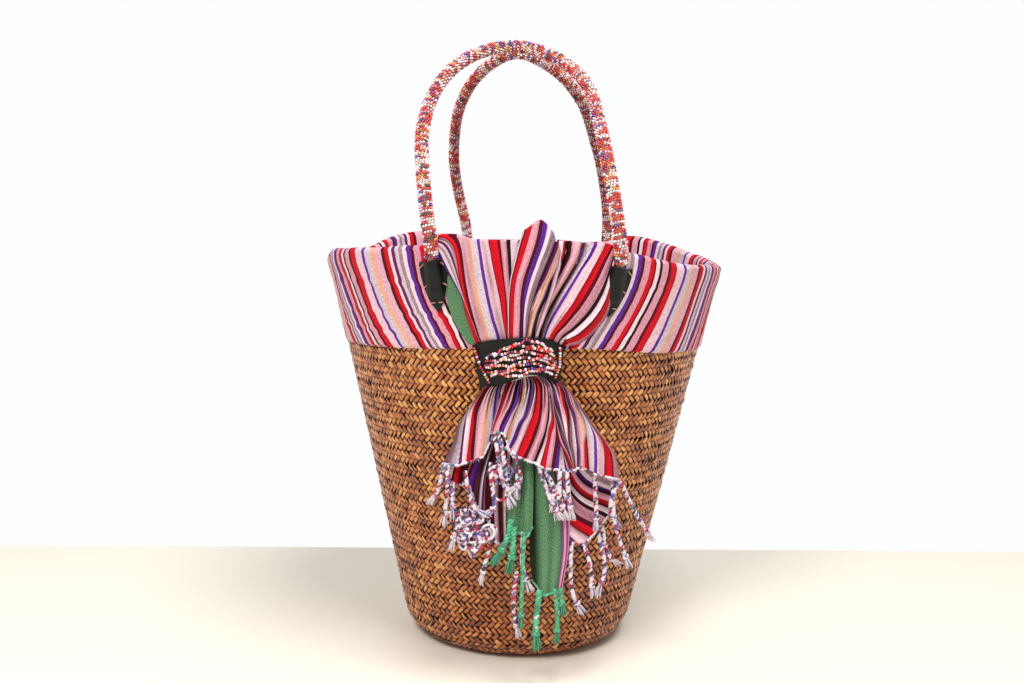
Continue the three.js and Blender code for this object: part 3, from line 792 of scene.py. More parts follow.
print("keeper middle", on_keeper(0.0, 0.5, 2.2).round(1))

# %% [markdown]
# ## The gathered front
#
# Above the keeper the two ends of the shawl are drawn together in three bundles: a smooth one with
# a rolled lobe at its left, a fold that stands up above the rim, and a broad one at the right that
# sweeps across from the other tab. Each sheet also goes over the rim and a little way down inside.

# %% The three bundles
GATHER_LEFT = [
    (82, 0.0, [(-60, 341), (-58.5, 338), (-56, 333), (-50.5, 324), (-43.5, 312), (-36, 296), (-29, 278)]),
    (77, 0.7, [(-60, 345), (-57.5, 342), (-54, 335), (-48.5, 324), (-42, 312), (-35, 296), (-28.5, 278)]),
    (71, 0.9, [(-60, 348.5), (-56, 346), (-51.5, 338.5), (-46.5, 326),
               (-41.3, 312), (-35, 296), (-28.5, 278)]),
    (64, 0.5, [(-60, 351.5), (-54.5, 349), (-49.5, 341.5), (-44.7, 327),
               (-40.5, 312), (-35, 296), (-28.5, 278)]),
    (60.5, 0.2, [(-60, 353.5), (-53, 351.5), (-47.8, 344), (-44.6, 328),
                 (-41.7, 312), (-38, 296), (-32.5, 278)]),
    (57, 0.75, [(-58, 355), (-51, 353.5), (-45.8, 345), (-43, 328),
                (-40.2, 312), (-36.6, 296), (-31, 278)]),
    (52.8, 0.6, [(-48, 355.5), (-45.3, 352), (-42.4, 344), (-39.9, 327),
                 (-37.2, 311), (-33.4, 296), (-28, 278)]),
    (46, 0.35, [(-40, 354), (-39, 349), (-37.9, 340), (-36, 325), (-33.5, 311), (-30, 296), (-25, 279)]),
    (40.5, 0.6, [(-36, 352.5), (-35, 344), (-34, 334), (-32, 322),
                 (-29.7, 310), (-26.3, 296), (-21.5, 279)]),
    (34, 0.75, [(-32.5, 352), (-31.2, 344), (-30, 334), (-28, 323),
                (-25.6, 311), (-22, 296), (-17.5, 279)]),
    (28.1, 0.6, [(-29, 352), (-27.6, 344), (-26, 334), (-24, 323), (-21.6, 311), (-18, 296), (-13, 279.5)]),
    (21.5, 0.35, [(-25, 352), (-23.5, 344), (-22, 334), (-19.5, 323),
                  (-17, 311), (-13.6, 296), (-10, 280)]),
    (16.3, 0.6, [(-21, 352), (-19.5, 344), (-17.7, 334), (-15.2, 323),
                 (-12.6, 311), (-10.2, 296), (-7.6, 280)]),
    (12.8, 0.7, [(-16.5, 352), (-15, 344), (-13.5, 334), (-11.4, 323),
                 (-9.4, 311), (-7.8, 296), (-6.4, 280.5)]),
    (7, 0.45, [(-13, 352), (-12, 344), (-10.7, 334), (-9.2, 323), (-7.8, 311), (-6.5, 296), (-5.5, 281)]),
    (3, 0.55, [(-10.5, 352), (-9.5, 344), (-8.6, 334), (-7.6, 323), (-6.5, 311), (-5.6, 296), (-4.6, 281)]),
    (-1.5, 0.2, [(-6.8, 352), (-6, 344), (-5.4, 334), (-5, 323), (-4.6, 311), (-4, 296), (-3.6, 281)]),
    (-8, 0.0, [(2, 352), (1, 344), (0.5, 334), (0, 323), (-0.5, 311), (-1, 296), (-1, 281)]),
]
GATHER_PEAK = [
    (-3.5, 0.05, [(3, 357), (0, 348), (-2.2, 338), (-5, 324), (-6.7, 308), (-6.5, 294), (-6, 280)]),
    (-6, 0.55, [(4.2, 359), (1.2, 349), (-1.2, 338.5), (-4.4, 324), (-5.8, 308), (-5.8, 294), (-5.4, 280)]),
    (-10.7, 0.8, [(8.5, 362), (5, 349), (1.5, 336), (-2, 322), (-3, 307), (-3.2, 294), (-3.3, 281)]),
    (-16, 1.0, [(14, 366.5), (11, 352), (6.8, 338), (2.2, 323), (0.8, 308), (0.8, 295), (0.4, 282)]),
    (-20.5, 0.75, [(17.5, 367), (15, 353), (11, 339), (6.3, 324), (4.2, 310), (3.8, 296), (3.6, 282)]),
    (-23.9, 0.6, [(20.5, 365), (18, 352), (13.6, 338), (8.9, 324), (6.2, 310), (5.2, 297), (5, 283)]),
    (-28.5, 0.8, [(24, 361), (20.8, 349), (16.6, 337), (11.8, 323), (8.3, 309), (6.8, 297), (6.5, 283)]),
    (-33, 0.55, [(27, 357), (23.3, 346), (19, 334), (14.4, 321), (10.6, 307), (8.6, 296), (8, 283)]),
    (-36, -0.3, [(28, 353), (24.3, 342), (20.2, 331), (15.6, 318), (11.6, 304), (9.4, 294), (8.8, 283)]),
]
GATHER_RIGHT = [
    (-36, -0.35, [(24, 350), (20, 341), (15, 330), (11, 318), (8.5, 305), (7.6, 294), (7.6, 282)]),
    (-40.5, 0.85, [(31, 352), (29, 343), (24.5, 331), (18.6, 318), (13.4, 305), (11, 294), (10.2, 282)]),
    (-44.5, 0.75, [(34.5, 352), (33.5, 342), (28.5, 330), (21.8, 318),
                   (15.8, 305), (12.8, 294), (11.6, 282)]),
    (-48.5, -0.3, [(36, 352), (34.5, 342), (29, 331), (22, 318), (16, 305), (13.2, 294), (12, 282)]),
    (-54, 0.8, [(42.5, 352), (41, 342), (35.5, 330), (28.6, 318), (21.4, 305), (16.8, 294), (14.6, 282)]),
    (-62.4, 0.65, [(46.5, 351), (44.2, 341), (38.6, 330), (31.8, 318),
                   (24.6, 305), (19, 294), (16.4, 282)]),
    (-68, -0.3, [(48, 351), (45.5, 341), (40, 330), (33, 318), (26, 305), (20.2, 294), (17.4, 282)]),
    (-71.5, 0.5, [(54.5, 351), (50.2, 341), (44, 330), (36.4, 317), (29.6, 305), (23.6, 293), (20, 281.5)]),
    (-74.8, 0.75, [(58, 351), (53.2, 341), (46.6, 331), (38.8, 317), (32, 305), (25.6, 293), (21.6, 281)]),
    (-81, 1.0, [(61.5, 351), (57.6, 342), (51.2, 331), (43.8, 318), (36.6, 305), (29, 292.5), (23.6, 281)]),
    (-86.6, 0.9, [(65, 351), (60.8, 342), (54.6, 330), (48, 318), (40.8, 305), (32, 292.5), (25.2, 281)]),
    (-90.1, 0.8, [(68, 350.5), (63.4, 342), (57.2, 329.5), (51, 318), (44, 306), (34.6, 293), (26.8, 281)]),
    (-94.7, 0.75, [(70.5, 349.5), (66.4, 341), (60.8, 329), (54.8, 317),
                   (47.4, 305), (37.6, 292), (29, 281)]),
    (-99.5, 0.6, [(72, 349), (69, 340), (64.6, 328), (59, 316), (51.6, 303), (41, 290), (31.4, 280)]),
    (-104.4, 0.4, [(73, 348), (71, 339), (68, 328), (63, 314), (55, 300), (43.6, 288), (33.4, 279)]),
    (-108.5, 0.7, [(73.5, 347), (72, 338), (70.4, 327), (66, 311), (58, 297), (46.4, 285), (35.4, 277.5)]),
    (-113.6, 0.6, [(74, 346), (73, 337), (71.6, 325), (67.4, 305), (58.6, 290), (47.2, 280.5), (37, 276)]),
    (-118, 0.0, [(74.5, 345), (73.5, 336), (72.6, 322), (69.4, 300), (60.4, 286), (49.2, 276), (38, 272)]),
]

GATHER_FOLD = [
    (47.5, -0.4, [(30, 350.5), (25, 340.5), (21, 331.5), (18, 324),
                  (14, 315.5), (11.5, 309), (8.5, 299.5), (7, 282)]),
    (42.5, 0.4, [(30.5, 349.5), (26.5, 337.5), (23, 328), (20, 321.5),
                 (17, 314.5), (14.5, 307.5), (11.5, 299), (8.5, 282)]),
    (38.5, 1.0, [(31, 348.5), (27.5, 336.5), (25, 327.5), (22.5, 321.5),
                 (20, 314.5), (17, 307), (14, 299), (10.5, 282)]),
    (30, -0.2, [(31, 347.5), (28.5, 335.5), (26, 327.5), (24, 319.5),
                (21.5, 311.5), (18.5, 304.5), (16, 297), (12.5, 282)]),
    (26.3, 0.4, [(31.5, 346), (30, 335.5), (27.5, 327.5), (25.5, 319),
                 (23, 310), (20.5, 303), (18, 296), (14.5, 282)]),
    (20, 1.1, [(32, 345.5), (31.5, 335.5), (29.5, 327.5), (27.5, 318.5),
               (24.5, 309), (22, 302), (20, 295), (16, 282)]),
    (16.8, 0.2, [(32.5, 345), (32.5, 335.5), (30.5, 327.5), (28.5, 318.5),
                 (26, 309), (23.5, 301), (21, 294), (17, 282)]),
]

# %% The bundles laid over the rim
BEHIND_KEEPER = 15
MIDDLE, HALF_OPENING = 1.5, 35.5
# The part that goes over the rim: its height above the rim, its share of the way out, and its place
# along the threads.
OVER_RIM = [(-16.0, -0.6, -22.0), (-6.0, -0.5, -12.0), (-0.5, -0.2, -6.0), (1.6, 0.25, -3.5),
            (1.4, 0.62, -1.8)]


def gathered(name, threads, node, rows, cols, lift, depth, seed):
    """One bundle above the keeper, from inside the rim to behind the leather, which presses it down."""
    longer = []
    for stripe, fold, route in threads:
        x, z = route[-1]
        longer.append((stripe, fold, route + [(x * 0.86 + 0.4, z - BEHIND_KEEPER)]))
    x, z, stripe, fold, run = drape(longer, rows, cols)
    share = np.linspace(0, 1, rows + 1)[:, None]
    bunch = lift + 3.0 * np.sin(math.pi * np.minimum(share * 0.8, 1))
    off = bunch + fold * depth * (0.75 + 0.5 * share) + wrinkle(x.shape, 14, 0.3, seed)
    above = z - np.interp(x, KEEPER_EDGES[0][:, 0], KEEPER_EDGES[0][:, 1])
    pressed = keeper_lift(np.clip((x - MIDDLE) / HALF_OPENING, -1, 1)) - 1.0 + fold * 0.8
    pressed = np.maximum(pressed + 1.1 * np.clip(above, 0, None), 1.2 + fold)
    off = np.where(np.abs(x - MIDDLE) < HALF_OPENING + 0.5, np.minimum(off, pressed), off)
    over_z, over_off, over_run = [], [], []
    for up, part, along in OVER_RIM:
        over_z.append(z[:1] + up)
        over_off.append(np.minimum(part * (off[:1] + 8) - 5.0 * (1 - part), off[:1] - 0.4))
        over_run.append(along + 0 * x[:1])
    z, off = np.concatenate(over_z + [z]), np.concatenate(over_off + [off])
    run = np.concatenate(over_run + [run])
    x, stripe = (np.concatenate([values[:1]] * len(OVER_RIM) + [values]) for values in (x, stripe))
    thing = cloth(name, onto_wall(x, z, off), "bag", "striped_cloth", stripe=stripe, thread=run,
                  hollow=hollow(off))
    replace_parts(thing, node)
    cloth_sheet(longer)


gathered("gather_left", GATHER_LEFT, "shawl_gather_left", 56, 130, 3.2, 5.4, 11)
gathered("gather_peak", GATHER_PEAK, "shawl_gather_peak", 60, 80, 5.0, 7.0, 12)
gathered("gather_right", GATHER_RIGHT, "shawl_gather_right", 56, 150, 3.2, 6.4, 13)
gathered("gather_fold", GATHER_FOLD, "shawl_gather_right", 56, 80, 6.5, 6.5, 14)

# %% [markdown]
# ## The tails
#
# Below the keeper the two ends of the shawl hang as a fan of three overlapping sheets, and two more
# layers hang behind them with the green border between. These are drawn by their threads too. They
# hang clear of the wall, round the bag's axis, because the basket gets narrower below them. The fan's
# upper part is tucked under the keeper, and below it the fan hangs clear.

# %% The three sheets of the fan
FAN_LEFT = [
    (73, 0, [(-14, 249), (-26, 238), (-35.5, 223.5), (-44.5, 208.5), (-48, 195), (-56, 178.5)]),
    (66.3, 0.75, [(-13.5, 249), (-25.5, 238), (-35.5, 223.5), (-39.5, 209), (-41, 194.5), (-43, 179)]),
    (62.4, 0.9, [(-13.5, 249), (-25.5, 238), (-35, 224), (-37.5, 209), (-39, 194.5), (-40, 180.5)]),
    (59.4, 0.7, [(-13, 249), (-24.5, 238), (-32, 224.5), (-34, 209), (-35.5, 195), (-37, 181.5)]),
    (54.6, 0.45, [(-11.5, 249), (-22.5, 238.5), (-29.5, 225), (-31.5, 209.5), (-33, 195), (-33.5, 182.5)]),
    (51, 0.35, [(-10.5, 249), (-21, 239), (-27.5, 225), (-29.5, 209.5), (-30.5, 195.5), (-31.5, 183.5)]),
    (46.5, 0.8, [(-10, 249), (-19.5, 239), (-24.5, 225), (-26.5, 209.5), (-28, 195.5), (-29, 184.5)]),
    (42.5, 0.7, [(-9, 249), (-18, 239.5), (-22, 225), (-24, 209.5), (-25, 195.5), (-26, 186)]),
    (38.5, 0.45, [(-7.5, 249), (-15.5, 240.5), (-20, 225.5), (-21, 210), (-22.5, 196), (-23.5, 187.5)]),
    (30, 0.15, [(-6, 249), (-13.5, 241), (-16, 225.5), (-17.5, 210), (-19.5, 199.5), (-20.5, 193.5)]),
    (26.3, 0, [(-5, 249), (-11.5, 241), (-14, 225.5), (-15, 212), (-17, 203.5), (-18.5, 198)]),
    (20, -0.3, [(-3, 249), (-8.5, 241), (-10, 228), (-11.5, 214.5), (-12.5, 206.5), (-13, 199)]),
]
FAN_MIDDLE = [
    (98, -0.2, [(-4, 249), (-10, 241.5), (-13, 230), (-15, 220), (-17, 211.5), (-17.5, 206)]),
    (94.4, 0.3, [(-2, 249), (-6.5, 242), (-9.5, 230.5), (-12.5, 222), (-15.5, 212.5), (-17, 206.5)]),
    (90, 0.7, [(0, 249.5), (-3.5, 242.5), (-8, 229.5), (-11, 221), (-14.5, 212.5), (-16, 206.5)]),
    (83.7, 0.8, [(2.5, 249.5), (0, 242.5), (-3, 229.5), (-7, 221), (-10.5, 212.5), (-11.5, 207.5)]),
    (81, 0.5, [(3.5, 249.5), (2, 242.5), (-1, 230), (-4.5, 221.5), (-9.5, 211.5), (-10.5, 206.5)]),
    (77, 0.55, [(4.5, 249.5), (3.5, 242.5), (2, 230), (-2, 221.5), (-6, 212), (-8, 206)]),
    (73.3, 0.25, [(5, 249.5), (4.5, 242.5), (3, 229.5), (-0.5, 221.5), (-4, 211), (-6.5, 202.5)]),
    (42.5, 0.1, [(5.5, 249.5), (5, 242.5), (3, 229.5), (0, 221.5), (-3.5, 210.5), (-6, 201.5)]),
    (38.5, 0.4, [(7, 250), (7.5, 243), (6.5, 232), (3, 224.5), (-0.5, 213.5), (-3, 204), (-5, 197.5)]),
    (34, 0.75, [(8.5, 250.5), (10, 243.5), (8.5, 233), (6, 223.5), (1.5, 213), (-1, 204.5), (-4.5, 196)]),
    (30, 0.6, [(9.5, 251), (11.5, 244), (10.5, 234), (7.5, 221), (3, 214), (-1, 203), (-4.5, 195)]),
    (26.3, 0.5, [(10.5, 251), (13.5, 244), (13, 234.5), (10, 221), (6, 213), (2, 202), (-2, 194)]),
    (21.5, 0.9, [(11.5, 251), (15, 244), (15, 234.5), (12, 221.5), (8, 211.5), (3.5, 199.5), (0.5, 191.5)]),
    (16.8, 0.65, [(11.5, 251), (15, 244), (15.5, 234.5), (13.5, 221.5),
                  (9.5, 210), (5, 198.5), (2.5, 190)]),
    (14, 0.8, [(12, 251), (16, 244), (16.5, 234.5), (15, 221.5), (12, 210), (7.5, 198.5), (4, 188.5)]),
    (9.8, 1, [(14, 251), (18.5, 244), (19.5, 231), (18.5, 219), (15.5, 210), (12, 199.5), (7, 188)]),
    (6.5, 0.75, [(15, 251), (20.5, 244), (21.5, 231), (20.5, 219), (18, 209), (14.5, 199), (9.5, 186.5)]),
    (3, 0.9, [(16, 250.5), (22, 243.5), (23.5, 231), (22.5, 219), (21, 210), (17.5, 199), (12.5, 185.5)]),
    (0, 0.6, [(17, 250), (23.5, 243), (25.5, 231), (25, 219), (23.5, 210), (20.5, 200), (15, 184.5)]),
    (-3, 0.4, [(17.5, 249.5), (24.5, 242.5), (26.5, 231), (26.5, 219), (25, 210), (23, 200), (17, 183.5)]),
    (-7, 0.6, [(18, 249), (25, 242), (27.5, 231), (28, 218.5), (26, 210), (25, 201), (20, 182)]),
    (-8.5, 0.75, [(18, 249), (25.5, 242), (28, 231), (28.5, 218.5),
                  (26.5, 209.5), (25.5, 201), (21, 181.5)]),
    (-12.9, 0.85, [(18, 249), (25.5, 242), (28.5, 230.5), (30.5, 215),
                   (28.5, 206.5), (27, 197), (24.5, 180)]),
    (-16, 1, [(18.5, 249), (26, 242), (29, 230), (31, 214.5), (30.5, 206), (29, 196), (26.5, 180)]),
    (-19.2, 0.7, [(18.5, 249), (26.5, 241.5), (29.5, 229.5), (31.5, 214.5),
                  (32, 206), (31, 196), (29, 179.5)]),
    (-21.9, 0.5, [(18.5, 249), (26.5, 241.5), (30, 229.5), (31.5, 214.5),
                  (33.5, 206), (33.5, 196), (31.5, 179)]),
    (-26, 0.3, [(19, 249), (27, 241.5), (30.5, 229), (32, 214.5), (34.5, 206), (35.5, 196), (35, 178.5)]),
    (-29.6, 0.1, [(19, 249), (27, 241.5), (30.5, 229), (32.5, 214.5),
                  (34.5, 206), (36.5, 195), (40, 177.5)]),
    (-36.6, 0.1, [(19, 249), (27, 241.5), (31, 229), (32.5, 214.5), (35, 206), (36.5, 194.5), (40, 177.5)]),
    (-40.5, 0.4, [(19.5, 249), (27.5, 241.5), (31, 229), (32.5, 214.5),
                  (35, 205.5), (37, 194.5), (42, 177.5)]),
    (-44, -0.2, [(19.5, 249), (27.5, 241.5), (31, 228.5), (33, 214),
                 (35.5, 205.5), (38, 194.5), (44, 177)]),
]
FAN_RIGHT = [
    (96, -0.2, [(16.5, 251), (23, 244), (27.5, 230.5), (32, 215.5),
                (33.5, 202.5), (37.5, 193), (43.5, 178.5)]),
    (90, 0.5, [(17, 251), (23.5, 244), (27.5, 230.5), (32, 215.5),
               (35.5, 201.5), (41, 191.5), (46.5, 178.5)]),
    (76, 0.1, [(17, 251), (24, 244), (28.5, 230.5), (33, 216), (39, 199), (42, 192), (46.5, 178.5)]),
    (66.3, 0.45, [(19, 251), (27, 244), (30.5, 230.5), (36, 215.5), (40.5, 200), (43, 191.5), (47, 178.5)]),
    (62.4, 0.75, [(20.5, 251), (29, 244), (34, 230.5), (37.5, 215.5),
                  (41, 200), (43.5, 191.5), (47, 178.5)]),
    (59.4, 0.65, [(22, 251), (32, 244), (36, 230.5), (39.5, 218.5), (41.5, 200), (44, 191.5), (47, 178.5)]),
    (54.6, 0.1, [(24.5, 249), (35.5, 241.5), (39, 230.5), (41.5, 219.5),
                 (42, 200), (44, 191.5), (47.5, 178.5)]),
    (73.3, 0.05, [(24.5, 249), (36, 241.5), (39.5, 230.5), (42, 219.5),
                  (43, 200), (44.5, 191.5), (47.5, 178.5)]),
    (69.6, 0.5, [(24.5, 249), (36, 241.5), (40, 230.5), (43, 219.5), (45, 200), (46.5, 191.5), (48, 179)]),
    (66.3, 0.7, [(25, 249), (36.5, 241.5), (40, 230.5), (44.5, 218.5),
                 (47.5, 200), (48, 191.5), (48.5, 180)]),
    (62.4, 0.5, [(26, 249), (38.5, 240.5), (42, 230.5), (46.5, 218.5),
                 (49.5, 199.5), (50.5, 191.5), (51, 180.5)]),
    (51, 0.45, [(26, 249), (38.5, 240.5), (42.5, 230), (47, 218.5),
                (50, 199.5), (51, 191.5), (51.5, 180.5)]),
    (42.5, 0.75, [(27.5, 249), (40.5, 239.5), (46, 227.5), (50.5, 217.5),
                  (52.5, 201), (53, 191.5), (53, 179)]),
    (38.5, 0.4, [(28, 249), (41.5, 238.5), (48, 226.5), (53.5, 217), (55, 207), (53, 198), (53, 179)]),
    (59.4, 0.2, [(28, 249), (41.5, 238.5), (48, 226.5), (53.5, 217),
                 (55, 206.5), (53, 197.5), (53.5, 179)]),
    (54.6, 0.35, [(28, 249), (41.5, 238.5), (48.5, 226.5), (53.5, 216.5),
                  (55.5, 205), (55.5, 196.5), (57, 178)]),
    (51, 0.5, [(28, 249), (41.5, 238.5), (48.5, 226.5), (53.5, 216.5),
               (55.5, 204.5), (56.5, 196.5), (58.5, 177)]),
    (38.5, 0.55, [(28.5, 249), (42, 238.5), (48.5, 226.5), (53.5, 216.5),
                  (55.5, 204.5), (57, 196.5), (58.5, 177)]),
    (34, 0.8, [(28.5, 249), (42.5, 238), (50, 225.5), (55.5, 215), (58, 205.5), (59, 196.5), (60, 176.5)]),
    (30, 0.9, [(29, 249), (43, 237.5), (51.5, 224.5), (57, 215),
               (60.5, 205.5), (61.5, 196.5), (62, 175.5)]),
    (26.3, 0.85, [(29, 249), (43.5, 237), (52, 224), (57.5, 215), (62.5, 204.5), (64, 194), (64.5, 174.5)]),
    (21.5, 0.6, [(29, 249), (43.5, 236.5), (52, 224), (58.5, 214), (64.5, 204), (67, 193), (67.5, 173.5)]),
    (16.8, 0.45, [(29.5, 249), (44, 236.5), (52.5, 223.5), (59, 214),
                  (66, 203), (69.5, 191.5), (70, 172.5)]),
    (15, 0.6, [(29.5, 249), (44, 236), (52.5, 223.5), (59.5, 213.5), (67, 202), (71, 190), (72.5, 172)]),
    (9.8, 0.85, [(30, 249), (44.5, 236), (53, 223), (60.5, 212.5),
                 (69, 200.5), (74.5, 189.5), (76.5, 171)]),
    (6.5, 0.6, [(30, 249), (44.5, 236), (53.5, 223), (61, 212), (69.5, 200.5), (76, 188.5), (78, 170.5)]),
    (0, 0, [(30, 249), (44.5, 235.5), (54, 222.5), (61.5, 212), (70.5, 199.5), (78.5, 187.5), (83, 168)]),
]

# %% The fan's sheets laid under the keeper
FAN_REACH = 161.0
FREE_BELOW = 231
PLEAT = 5.2


def fan(name, threads, rows, cols, layer, seed):
    """One sheet of the fan: under the keeper at its top, then hanging clear of the wall to its hem."""
    x, z, stripe, fold, run = drape(threads, rows, cols)
    dents = wrinkle(x.shape, 12, 0.25, seed)
    hang = FAN_REACH + layer + fold * 5.6 + dents
    under = np.maximum(keeper_lift(np.clip((x - 3) / 34, -1, 1)) - 3.2, 2.6)
    tucked = wall_radius(z) + under + fold * 1.2 - 1.2 + 0.2 * layer + dents * 0.5
    share = eased(np.clip((z - FREE_BELOW) / 17, 0, 1))
    pleats = 1.7 * np.sin(stripe * 2 * math.pi / PLEAT) * np.clip((z - 212) / 26, 0, 1)
    reach = hang + (tucked - hang) * share + pleats
    points = round_axis(x, z, reach)
    thing = cloth(name, points, None, "striped_cloth", stripe=stripe, thread=run, hollow=hollow(reach))
    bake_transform(thing)
    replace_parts(thing, "tail_front")
    return thing, points[-1]


fan_left, hem_left = fan("fan_left", FAN_LEFT, 50, 80, 0.0, 21)
fan_middle, hem_middle = fan("fan_middle", FAN_MIDDLE, 50, 170, 2.4, 22)
fan_right, hem_right = fan("fan_right", FAN_RIGHT, 50, 160, 4.4, 23)

# %% Under the keeper
NECK = [(12 + 4.1 * k, 0.9 * (k % 2), [(-20 + 2.6 * k, 276), (-17 + 2.25 * k, 266), (-15 + 2.2 * k, 250)])
        for k in range(17)]
x, z, stripe, fold, run = drape(NECK, 16, 90)
lift = np.maximum(keeper_lift(np.clip((x - 2) / 34, -1, 1)) - 4.5, 1.5)
points = onto_wall(x, z, lift + 1.6 * fold)
neck = cloth("shawl_under_keeper", points, "bag", "striped_cloth", stripe=stripe, thread=run)
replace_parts(neck, "shawl_neck")

# %% Threads of the layers behind the fan
UNDER_LEFT = [
    (103, -0.1, [(-14, 231), (-36, 205), (-52, 186), (-57, 176)]),
    (95, 1.0, [(-12, 231), (-30, 205), (-44, 180), (-48, 164)]),
    (88, -0.1, [(-10, 231), (-25, 205), (-37, 180), (-41, 161)]),
    (82, 1.0, [(-8, 231), (-20, 205), (-31, 180), (-36, 165)]),
    (74, -0.1, [(-6, 231), (-16, 205), (-26, 175), (-30, 148)]),
    (66, 1.0, [(-4, 231), (-14, 205), (-23, 170), (-25, 137)]),
    (57, -0.1, [(-3, 231), (-12, 205), (-20, 170), (-19, 127)]),
    (50, 1.0, [(-1, 231), (-8, 205), (-14, 165), (-12.5, 119)]),
    (43, -0.1, [(0, 231), (-5, 205), (-10, 160), (-8, 117)]),
    (36, 1.0, [(2, 231), (-2, 205), (-6, 160), (-5.5, 123)]),
    (30, -0.1, [(4, 231), (1, 205), (-4, 165), (-4, 131)]),
]
UNDER_RIGHT = [
    (66.5, 0.2, [(38, 231), (46, 205), (62, 182), (83, 164)]),
    (74, 0.8, [(35, 231), (40, 203), (56, 173), (81, 158)]),
    (80.5, 0.2, [(33.5, 231), (38, 201), (53, 169), (80, 153.5)]),
    (88, 0.9, [(32, 231), (36, 199), (51.5, 165), (79, 149)]),
    (94.5, 0.2, [(30.5, 231), (33.5, 196), (49, 160.5), (77, 143.5)]),
    (101, 0.8, [(29, 231), (31.5, 193), (47, 156), (74.5, 138)]),
    (107.5, 0.2, [(27.5, 231), (29.5, 190), (44.5, 150), (70, 131)]),
    (114, 0.9, [(26, 231), (28, 187.5), (42, 144), (65, 125.5)]),
    (120, 0.3, [(24.5, 231), (26.5, 184.5), (40, 139), (60.5, 120.5)]),
    (126, 0.8, [(22, 231), (24, 181), (38, 135.5), (55.5, 116.5)]),
    (132, 0.2, [(20, 231), (22, 178), (36, 134), (47, 118)]),
]
GREEN_SMALL = [
    (0, 0.2, [(0, 229), (0, 200), (-3, 165), (-4.5, 136)]),
    (5, 0.9, [(3, 229), (4, 200), (2, 165), (0, 130)]),
    (9, 0.0, [(6, 229), (7, 200), (6, 165), (5.5, 126.5)]),
    (14, 0.9, [(9, 229), (10.5, 200), (11, 165), (11, 124.5)]),
    (19, 0.3, [(12.5, 229), (14, 200), (15.5, 165), (15.5, 132)]),
]
GREEN_LARGE = [
    # The first thread lies far behind the rest, so the painted fold shade turns its strip dark: a painted
    # shadow between the two green panels.
    (-6, -3.6, [(10.5, 229), (11.5, 190), (12.5, 150), (13.5, 110), (16, 86)]),
    (0, -0.6, [(14, 229), (16, 190), (18, 150), (20, 110), (20.5, 83)]),
    (3, 0.5, [(15, 229), (18, 190), (21, 150), (22.5, 110), (23, 79.5)]),
    (7, 0.9, [(16, 229), (20, 190), (25, 150), (26, 110), (26, 78)]),
    (12, 0.5, [(18.5, 229), (23, 190), (30, 150), (30, 110), (29, 78.5)]),
    (18, 0.8, [(21, 229), (26.5, 190), (34, 150), (35, 110), (33, 80)]),
    (21.5, 0.3, [(23, 229), (28.5, 190), (36.5, 150), (39, 114), (36, 81.5)]),
    (26, 0.7, [(26, 229), (31.5, 190), (40, 150), (42, 114), (38, 81.5)]),
    (30, 0.1, [(29, 229), (34, 190), (43.5, 150), (44, 114), (40, 82)]),
]
SLIVER = [
    (0, 0.0, [(-53, 326), (-54, 311), (-50.5, 296), (-44.5, 284), (-37, 273)]),
    (4, 0.6, [(-51, 326), (-51, 311), (-47, 296), (-41, 284), (-35, 273)]),
    (8, 0.1, [(-48, 325), (-46.5, 312), (-42.5, 297), (-37, 283), (-33, 273)]),
    (12, 0.0, [(-46, 323), (-43, 312), (-39, 296), (-34, 281), (-31, 274)]),
]

# %% Green cotton
dusty = Finish("green_cotton")
warp, weft = dusty.stored("stripe"), dusty.stored("thread")
mottle = dusty.noise(dusty.pair(warp * 1.5, weft * 1.1), 1.0, 2.0)
greens = [(0.3, paint(46, 90, 60)), (0.5, paint(84, 132, 92)), (0.72, paint(152, 178, 138))]
green_colour = dusty.ramp(mottle, *greens)
BORDER = 32.0
violet_edge, pink_edge = paint(128, 60, 130), paint(214, 140, 166)
selvedge = dusty.ramp(warp / BORDER, (0.0, (0, 0, 0, 1)), (0.67, (1, 1, 1, 1)), interpolation="CONSTANT")
edge_stops = [(0.0, violet_edge), (0.72, pink_edge), (0.81, violet_edge), (0.88, pink_edge)]
edge_colour = dusty.ramp(warp / BORDER, *edge_stops, interpolation="CONSTANT")
weave = (warp * (2 * math.pi / 0.9)).sine() * (weft * (2 * math.pi / 0.9)).sine() + mottle
# Painted shade in the folds: the green is darkened where a point lies deep below the folds beside it.
shaded = (dusty.stored("hollow") * 0.4).clamped()
green_fold_shade = dusty.blend(shaded, green_colour, paint(70, 80, 66), "MULTIPLY")
CLOTHS["green_cloth"] = dusty.done(Base_Color=dusty.blend(selvedge, green_fold_shade, edge_colour), Roughness=0.9,
                                   Specular_IOR_Level=0.25, Normal=dusty.bump(weave, 0.3, 0.0005))
print("cloths", list(CLOTHS))


# %% The layers behind the fan
LAYER_ROWS = 44


def hanging(name, threads, node, reach, deep, slot, seed, cols=60):
    """A layer behind the fan, at a distance from the bag's axis, and its lower edge."""
    x, z, stripe, fold, run = drape(threads, LAYER_ROWS, cols)
    out = reach + fold * deep + wrinkle(x.shape, 12, 0.2, seed)
    points = round_axis(x, z, out)
    thing = cloth(name, points, "tail", slot, stripe=stripe, thread=run, hollow=hollow(out))
    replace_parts(thing, node)
    return thing, points[-1]


layer_left, end_left = hanging(
    "layer_left", UNDER_LEFT, "tail_under_left", 153.4, 4.8, "striped_cloth", 31)
layer_right, end_right = hanging(
    "layer_right", UNDER_RIGHT, "tail_under_right", 153.6, 4.2, "striped_cloth", 32, cols=100)
green_small, end_small = hanging(
    "green_small", GREEN_SMALL, "green_panel_small", 157.4, 2.8, "green_cloth", 33)
green_large, end_large = hanging(
    "green_large", GREEN_LARGE, "green_panel_large", 157.4, 3.0, "green_cloth", 34)

